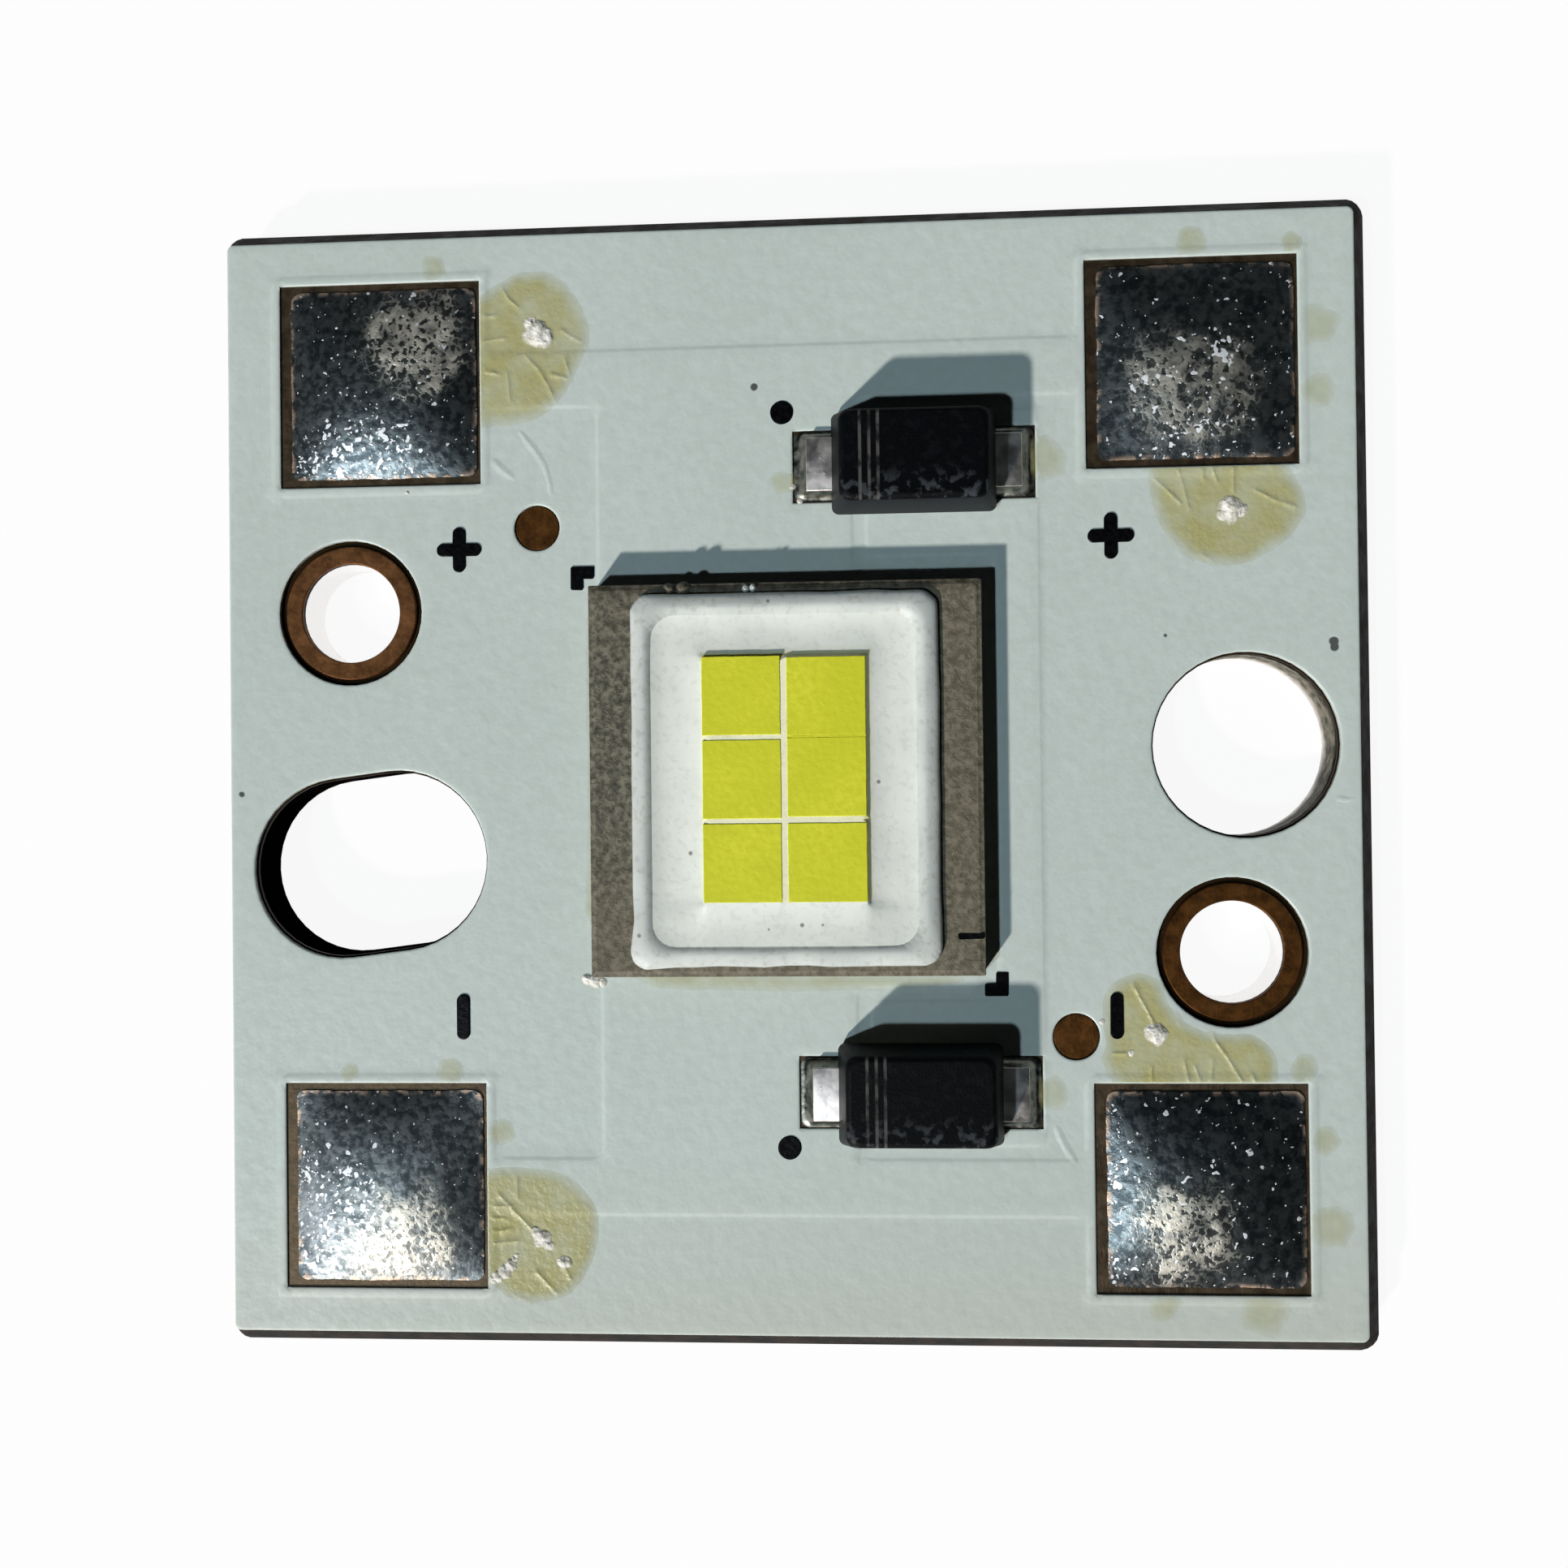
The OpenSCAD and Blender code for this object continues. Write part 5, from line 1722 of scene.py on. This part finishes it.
# %% Folds of a dried film
FOLD_WIDTH = 0.032
FOLD_STEP = 0.04
FOLD_ROWS = (-0.06, -0.03, 0.0, 0.03, 0.06)


def segments(folds):
    """Each straight piece of each fold, as two ends."""
    lines = [np.array(fold) for fold in folds]
    return [pair for line in lines for pair in zip(line[:-1], line[1:])]


def fold_points(folds):
    """Rows of points along the folds, so that the sheet can bend there."""
    rows = [np.empty((0, 2))]
    for here, there in segments(folds):
        along = there - here
        length = np.linalg.norm(along)
        left = np.array((-along[1], along[0])) / length
        shares = np.linspace(0, 1, max(2, math.ceil(length / FOLD_STEP)))[:, None]
        rows += [here + along * shares + left * row for row in FOLD_ROWS]
    return np.concatenate(rows)


def fold_lift(points, folds):
    """1 on a fold's crest, falling to 0 beside it."""
    lift = np.zeros(len(points))
    for here, there in segments(folds):
        along = there - here
        share = np.clip((points - here) @ along / (along @ along), 0, 1)
        away = np.linalg.norm(points - here - share[:, None] * along, axis=1)
        lift = np.maximum(lift, np.exp(-(away / FOLD_WIDTH) ** 2))
    return lift


print("rows of points along a fold:", len(FOLD_ROWS))

# %% [markdown]
# A film's outline is given by a few points, so its corners are cut off first. Flux doesn't lie
# over the solder, so where the outline runs over a pad's opening, it is pushed back to the opening's edge.
# A boolean cut would do that too, but moved points keep the outline simple.

# %% Outline of a dried film
CORNER_CUT = 0.25
CORNER_CUTS = 2
PAD_GAP = 0.02

pad_loops = [loop for loop in mask_loops[1:] if len(loop) == 4 and np.ptp(loop[:, 0]) > SMALLEST_CUT]


def eased(outline):
    """Cut the corners of an outline."""
    for _ in range(CORNER_CUTS):
        along = np.roll(outline, -1, 0)
        near = (1 - CORNER_CUT) * outline + CORNER_CUT * along
        far = CORNER_CUT * outline + (1 - CORNER_CUT) * along
        outline = np.stack([near, far], 1).reshape(-1, 2)
    return outline


def beside_pads(outline):
    """Push the points of an outline that lie over a pad's opening back to the opening's edge."""
    moved = outline.copy()
    for loop in pad_loops:
        low, high = loop.min(0) - PAD_GAP, loop.max(0) + PAD_GAP
        for point in moved:
            gaps = [point[0] - low[0], high[0] - point[0], point[1] - low[1], high[1] - point[1]]
            side = int(np.argmin(gaps))
            if gaps[side] > 0:
                point[side // 2] = (low, high)[side % 2][side // 2]
    return moved


print("pad openings found:", len(pad_loops))

# %% [markdown]
# The film itself is a sheet without holes that lies on the coating, follows its steps and rises at the
# folds. It thins out to its edge, but not at a pad, and stores how well it covers as "cover". The sheet
# needs no underside, because nobody sees it.

# %% Build a dried film
FILM_HEIGHT = 0.012
FILM_SINK = 0.004
FILM_EDGE = 0.12
FILM_STEP = 0.055
FILM_CLEAR = 0.03
OUTLINE_STEP = 0.07
FILM_WANDER = (0.03, 0.25)
FADE_WIDTH = 0.3
EDGE_COVER = 0.2
FOLD_HEIGHT = 0.02


def film(outline, folds, cover, seed, fade=FADE_WIDTH, fold_height=FOLD_HEIGHT):
    """The points, the triangles and the cover of one film; it thins out to its edge, but not at a pad."""
    whole = wobble(divided(eased(np.array(outline)), OUTLINE_STEP), *FILM_WANDER, seed)
    rim = beside_pads(whole)
    inner = np.concatenate([grid(rim.min(0), rim.max(0), FILM_STEP), fold_points(folds)])
    points = np.concatenate([rim, inner[depth_inside(inner, rim) > FILM_CLEAR]])
    places, triangles, _ = triangulated(points, [list(range(len(rim)))])
    depth = np.maximum(depth_inside(places, whole), 0)
    rise = FILM_HEIGHT * np.clip(depth / FILM_EDGE, 0, 1) - FILM_SINK
    rise += fold_height * fold_lift(places, folds)
    share = np.clip(depth / fade, 0, 1)
    covers = cover * (EDGE_COVER + (1 - EDGE_COVER) * share * share * (3 - 2 * share))
    return at_height(places, mask_height(places) + rise), triangles, covers


def film_piece(name, films, material):
    """One piece made of several films."""
    points, faces, covers = [], [], []
    for places, triangles, cover in films:
        faces += (triangles + sum(len(done) for done in points)).tolist()
        points.append(places)
        covers.append(cover)
    mesh = new_mesh(name, np.concatenate(points), faces)
    store(mesh, "cover", np.concatenate(covers))
    add_piece(mesh, material, None)
    print(name, "triangles:", len(mesh.polygons))


print("height of a film in mm:", FILM_HEIGHT)

# %% [markdown]
# Each wire left a stain beside its pad. The four have different outlines and folds, so they are lists of
# points in millimetres on the board. Random outlines would be less work, but the shapes would not be these.

# %% Flux at the four pads
STAIN_SEED = 2.0
STAINS = {
    "upper_left": {
        "cover": 0.9,
        "outline": [(-6.0, 6.35), (-4.99, 6.41), (-4.51, 6.43), (-3.97, 6.75), (-3.5, 7.56), (-3.33, 7.97),
                    (-3.41, 8.42), (-3.72, 8.97), (-4.03, 9.22), (-4.55, 9.3), (-4.97, 9.15), (-5.95, 8.5)],
        "folds": [[(-4.56, 7.69), (-4.34, 7.46), (-4.17, 7.17), (-4.03, 6.87)], [(-4.9, 7.39), (-4.86, 6.9)],
                  [(-5.0, 8.97), (-4.87, 8.74), (-4.7, 8.59)], [(-3.91, 8.15), (-3.73, 8.02), (-3.54, 7.93)],
                  [(-3.86, 7.65), (-3.74, 7.28)], [(-4.09, 7.35), (-3.76, 7.26)],
                  [(-5.31, 8.44), (-5.1, 8.45)], [(-5.33, 7.99), (-4.94, 8.04)],
                  [(-5.32, 7.44), (-5.07, 7.39)]]},
    "upper_right": {
        "cover": 0.93,
        "outline": [(6.45, 5.95), (6.48, 4.87), (6.65, 4.36), (6.92, 3.96), (7.35, 3.67), (7.95, 3.59),
                    (8.42, 3.73), (8.85, 3.99), (9.17, 4.35), (9.31, 4.8), (8.95, 5.45), (8.55, 5.8)],
        "folds": [[(6.59, 5.22), (6.83, 4.99), (7.06, 4.75)], [(7.02, 5.34), (7.11, 5.05), (7.19, 4.68)],
                  [(7.97, 5.36), (7.97, 4.94)], [(8.35, 4.96), (8.71, 4.77), (9.03, 4.66)],
                  [(6.86, 4.18), (7.05, 3.92), (7.28, 3.67)], [(7.41, 3.86), (7.65, 3.69)],
                  [(7.43, 5.36), (7.45, 5.17)], [(7.61, 5.36), (7.69, 5.12)]]},
    "lower_left": {
        "cover": 1.0,
        "outline": [(-5.9, -8.5), (-5.14, -9.31), (-4.7, -9.39), (-4.16, -9.35), (-3.8, -9.17),
                    (-3.47, -8.64), (-3.32, -8.03), (-3.46, -7.41), (-3.96, -6.97), (-4.49, -6.9),
                    (-4.94, -6.87), (-5.95, -6.95)],
        "folds": [[(-5.21, -7.4), (-4.97, -7.65), (-4.61, -8.03)], [(-4.87, -7.12), (-4.86, -7.47)],
                  [(-5.27, -7.62), (-4.98, -7.61)], [(-5.29, -7.84), (-5.11, -7.83)],
                  [(-5.29, -8.07), (-4.99, -8.04)], [(-5.28, -8.28), (-4.86, -8.24)],
                  [(-4.53, -8.79), (-4.16, -9.18)], [(-4.93, -9.22), (-4.59, -9.36)],
                  [(-4.06, -8.6), (-3.92, -8.91)]]},
    "lower_right": {
        "cover": 1.0,
        "outline": [(5.95, -5.85), (5.47, -4.95), (5.6, -4.85), (5.56, -4.4), (5.54, -4.0), (5.65, -3.66),
                    (6.03, -3.46), (6.38, -3.44), (6.67, -3.58), (6.74, -4.0), (7.08, -4.36), (7.5, -4.5),
                    (7.93, -4.5), (8.32, -4.55), (8.54, -4.78), (8.68, -5.12), (8.5, -5.85)],
        "folds": [[(6.12, -3.68), (6.28, -3.98), (6.46, -4.34)],
                  [(7.47, -4.48), (7.52, -4.66), (7.7, -4.9), (7.98, -5.38)],
                  [(6.91, -4.0), (6.91, -4.36)], [(6.98, -5.0), (7.06, -5.36)], [(7.17, -5.1), (7.26, -5.36)],
                  [(7.48, -5.0), (7.44, -5.36)], [(6.42, -5.12), (6.42, -5.38)],
                  [(5.74, -4.88), (5.98, -4.88)], [(8.15, -5.25), (8.2, -5.38)]]},
}
for corner, stain in STAINS.items():
    skin = film(stain["outline"], stain["folds"], stain["cover"], STAIN_SEED)
    film_piece("flux_" + corner, [skin], flux_skin)

# %% [markdown]
# Splashes of flux dried to small round spots near the pads and the diodes, and a thin seam crept out from
# under the ceramic. They have no folds. Since they are alike, their places and radii are enough, and all of
# them make one piece.

# %% Small flux spots
SPOT_COVER = 0.42
SPOT_GROWTH = 1.15
SPOT_WANDER = 0.35
SPOT_FADE = 0.7
SPOT_POINTS = 20
SPOT_WAVE = 0.3
SEAM_COVER = 0.5
SEAM_FADE = 0.22
SEAM = [(-3.6, 3.2), (-3.55, 0.0), (-3.66, -3.7), (0.0, -3.84), (3.3, -3.74), (3.3, -3.4), (-3.3, -3.4),
        (-3.3, 3.2)]
SPOTS = [(-6.24, 9.36, 0.24), (7.3, 9.37, 0.26), (9.04, 9.3, 0.2), (9.5, 7.83, 0.34), (9.46, 6.7, 0.3),
         (-7.93, -5.2, 0.18), (-6.1, -5.2, 0.26), (-5.15, -6.29, 0.24), (9.04, -5.15, 0.26),
         (9.41, -6.39, 0.26), (9.5, -7.87, 0.36), (6.62, -9.32, 0.26), (8.31, -9.42, 0.4),
         (4.66, 5.6, 0.4), (4.68, -5.55, 0.3), (0.06, 5.3, 0.24)]
films = []
for order, (x, y, radius) in enumerate(SPOTS):
    round_spot = circle((x, y), SPOT_GROWTH * radius, SPOT_POINTS)
    outline = wobble(round_spot, SPOT_WANDER * radius, SPOT_WAVE, order)
    films.append(film(outline, (), SPOT_COVER, order, SPOT_FADE * radius))
films.append(film(SEAM, (), SEAM_COVER, seed=5, fade=SEAM_FADE))
film_piece("flux_spots", films, flux_skin)

# %% [markdown]
# A few thin curved ridges run through the coating, like scars. A bump in the coating's finish could follow
# such a line only with much trouble, so each scar is a narrow film in the coating's own finish, with one
# low fold along its middle.

# %% Scars in the coating
SCAR_HEIGHT = 0.005
SCAR_SIDE = 0.09
SCARS = [[(-5.22, 5.86), (-5.05, 5.68), (-4.79, 5.46)], [(-4.73, 6.39), (-4.25, 5.75), (-4.1, 5.14)],
         [(4.73, -6.14), (4.88, -6.5), (5.1, -6.81)], [(9.66, -0.42), (9.8, -0.48), (10.0, -0.47)]]
scars = []
for scar in SCARS:
    path = np.array(scar)
    outline = np.concatenate([path + SCAR_SIDE, path[::-1] - SCAR_SIDE])
    scars.append(film(outline, [scar], cover=1.0, seed=1, fold_height=SCAR_HEIGHT))
film_piece("coating_scars", scars, pale_coating)

# %% [markdown]
# Crumbs, balls and drops are all low domes with a lumpy surface. A ball from Blender's menu with a displace
# modifier would work too, but a stack of circles ends in an even foot, which sinks a little into what it
# stands on.

# %% Build lumpy domes
DOME_RINGS = 9
DOME_POINTS = 32
DOME_SINK = 0.01
LUMP_SCALE = 2.2


def dome_mesh(middle, radius, height, lumps, base):
    """A low lumpy dome that stands on a height."""
    seed = middle[0]
    foot = wobble(circle(middle, radius, DOME_POINTS), lumps * radius, radius, seed)
    rings = [at_height(foot, base - DOME_SINK)]
    for step in range(DOME_RINGS):
        share = 1 - step / DOME_RINGS
        ring = circle(middle, radius * share, DOME_POINTS)
        spots = [Vector((x, y, seed)) * LUMP_SCALE / radius for x, y in ring]
        rough = np.array([noise.noise(spot) for spot in spots])
        lift = height * (1 - share * share) * (1 + lumps * rough)
        rings.append(at_height(wobble(ring, lumps * radius, radius, seed), base + lift))
    return stack_mesh("dome", rings)


def on_coating(x, y):
    """The height of the coating at one place."""
    return float(mask_height(np.array([(x, y)]))[0])


def merged(name, meshes):
    """One mesh made of several."""
    shape = bmesh.new()
    for mesh in meshes:
        shape.from_mesh(mesh)
    return finished_mesh(name, shape)


print("points of a dome:", DOME_POINTS * (DOME_RINGS + 1))

# %% [markdown]
# White crumbs of resin stand in the middle of each stain, where the wire was pulled off, and tiny balls of
# resin lie about. A short row of balls beside the lower left pad is only a painted glint along the edge of
# the flux. They could be scattered by chance, but each stands where the wire left it, so they are placed
# one by one. All crumbs make one piece, and all balls another.

# %% Crumbs and balls
CRUMBS = [(-4.4, 8.1, 0.27), (-4.24, 8.04, 0.2), (-4.48, 8.28, 0.14), (7.92, 4.64, 0.26), (8.08, 4.62, 0.14),
          (7.8, 4.56, 0.13), (6.5, -4.55, 0.22), (6.41, -4.46, 0.13), (-4.42, -8.18, 0.19),
          (-4.54, -8.08, 0.12), (-4.31, -8.3, 0.12), (-4.03, -8.62, 0.14)]
# the eight balls from (-5.32, -8.94) to (-4.89, -8.5) are a painted glint along the flux's edge
BALLS = [(0.23, 5.22, 0.06), (0.36, 4.96, 0.06), (5.57, -4.33, 0.06), (6.07, -4.88, 0.07),
         (-5.32, -8.94, 0.09), (-5.25, -8.88, 0.13), (-5.17, -8.83, 0.1), (-5.11, -8.8, 0.15),
         (-5.04, -8.72, 0.11), (-4.99, -8.67, 0.13), (-4.93, -8.58, 0.08), (-4.89, -8.5, 0.06),
         (-3.56, -3.54, 0.11), (-3.42, -3.58, 0.14), (-3.28, -3.6, 0.09), (-6.77, 5.28, 0.04)]
OUTER_COVERS = [0.1, 0.1, 0.5, 0.8]
CRUMB_SHAPE = (0.3, 0.28)
BALL_SHAPE = (0.4, 0.2)


def bead_piece(name, places, steepness, lumps):
    """Beads of resin in one piece; they thin out to their edges."""
    domes = [dome_mesh((x, y), r, steepness * r, lumps, on_coating(x, y)) for x, y, r in places]
    mesh = merged(name, domes)
    inner = [1.0] * (DOME_RINGS + 1 - len(OUTER_COVERS))
    store(mesh, "cover", np.tile(np.repeat(OUTER_COVERS + inner, DOME_POINTS), len(places)))
    add_piece(mesh, flux_bead, None)


bead_piece("flux_crumbs", CRUMBS, *CRUMB_SHAPE)
bead_piece("pale_balls", BALLS, *BALL_SHAPE)
print("crumbs:", len(CRUMBS), "balls:", len(BALLS))

# %% [markdown]
# Two chippings of ceramic and two drops of silicone sit at the ceramic's upper edge, left by the saw and by
# the nozzle. They are domes like the crumbs, but they take the finish of the stuff that they are made of.

# %% Chippings and drops
CHIPPINGS = [(-1.92, 3.36, 0.1), (-1.68, 3.36, 0.13)]
DROPS = [(-0.58, 3.34, 0.07), (-0.45, 3.35, 0.07)]
EDGE_HEIGHT = 0.08
EDGE_LUMPS = 0.25


def edge_piece(name, places, material, slot):
    """Domes on the ceramic's edge in one piece."""
    domes = [dome_mesh((x, y), r, EDGE_HEIGHT, EDGE_LUMPS, ceramic_top) for x, y, r in places]
    add_piece(merged(name, domes), material, slot)


edge_piece("ceramic_chippings", CHIPPINGS, grey_ceramic, "ceramic")
edge_piece("silicone_drops", DROPS, grey_silicone, "white_silicone")
print("domes at the ceramic's edge:", len(CHIPPINGS + DROPS))
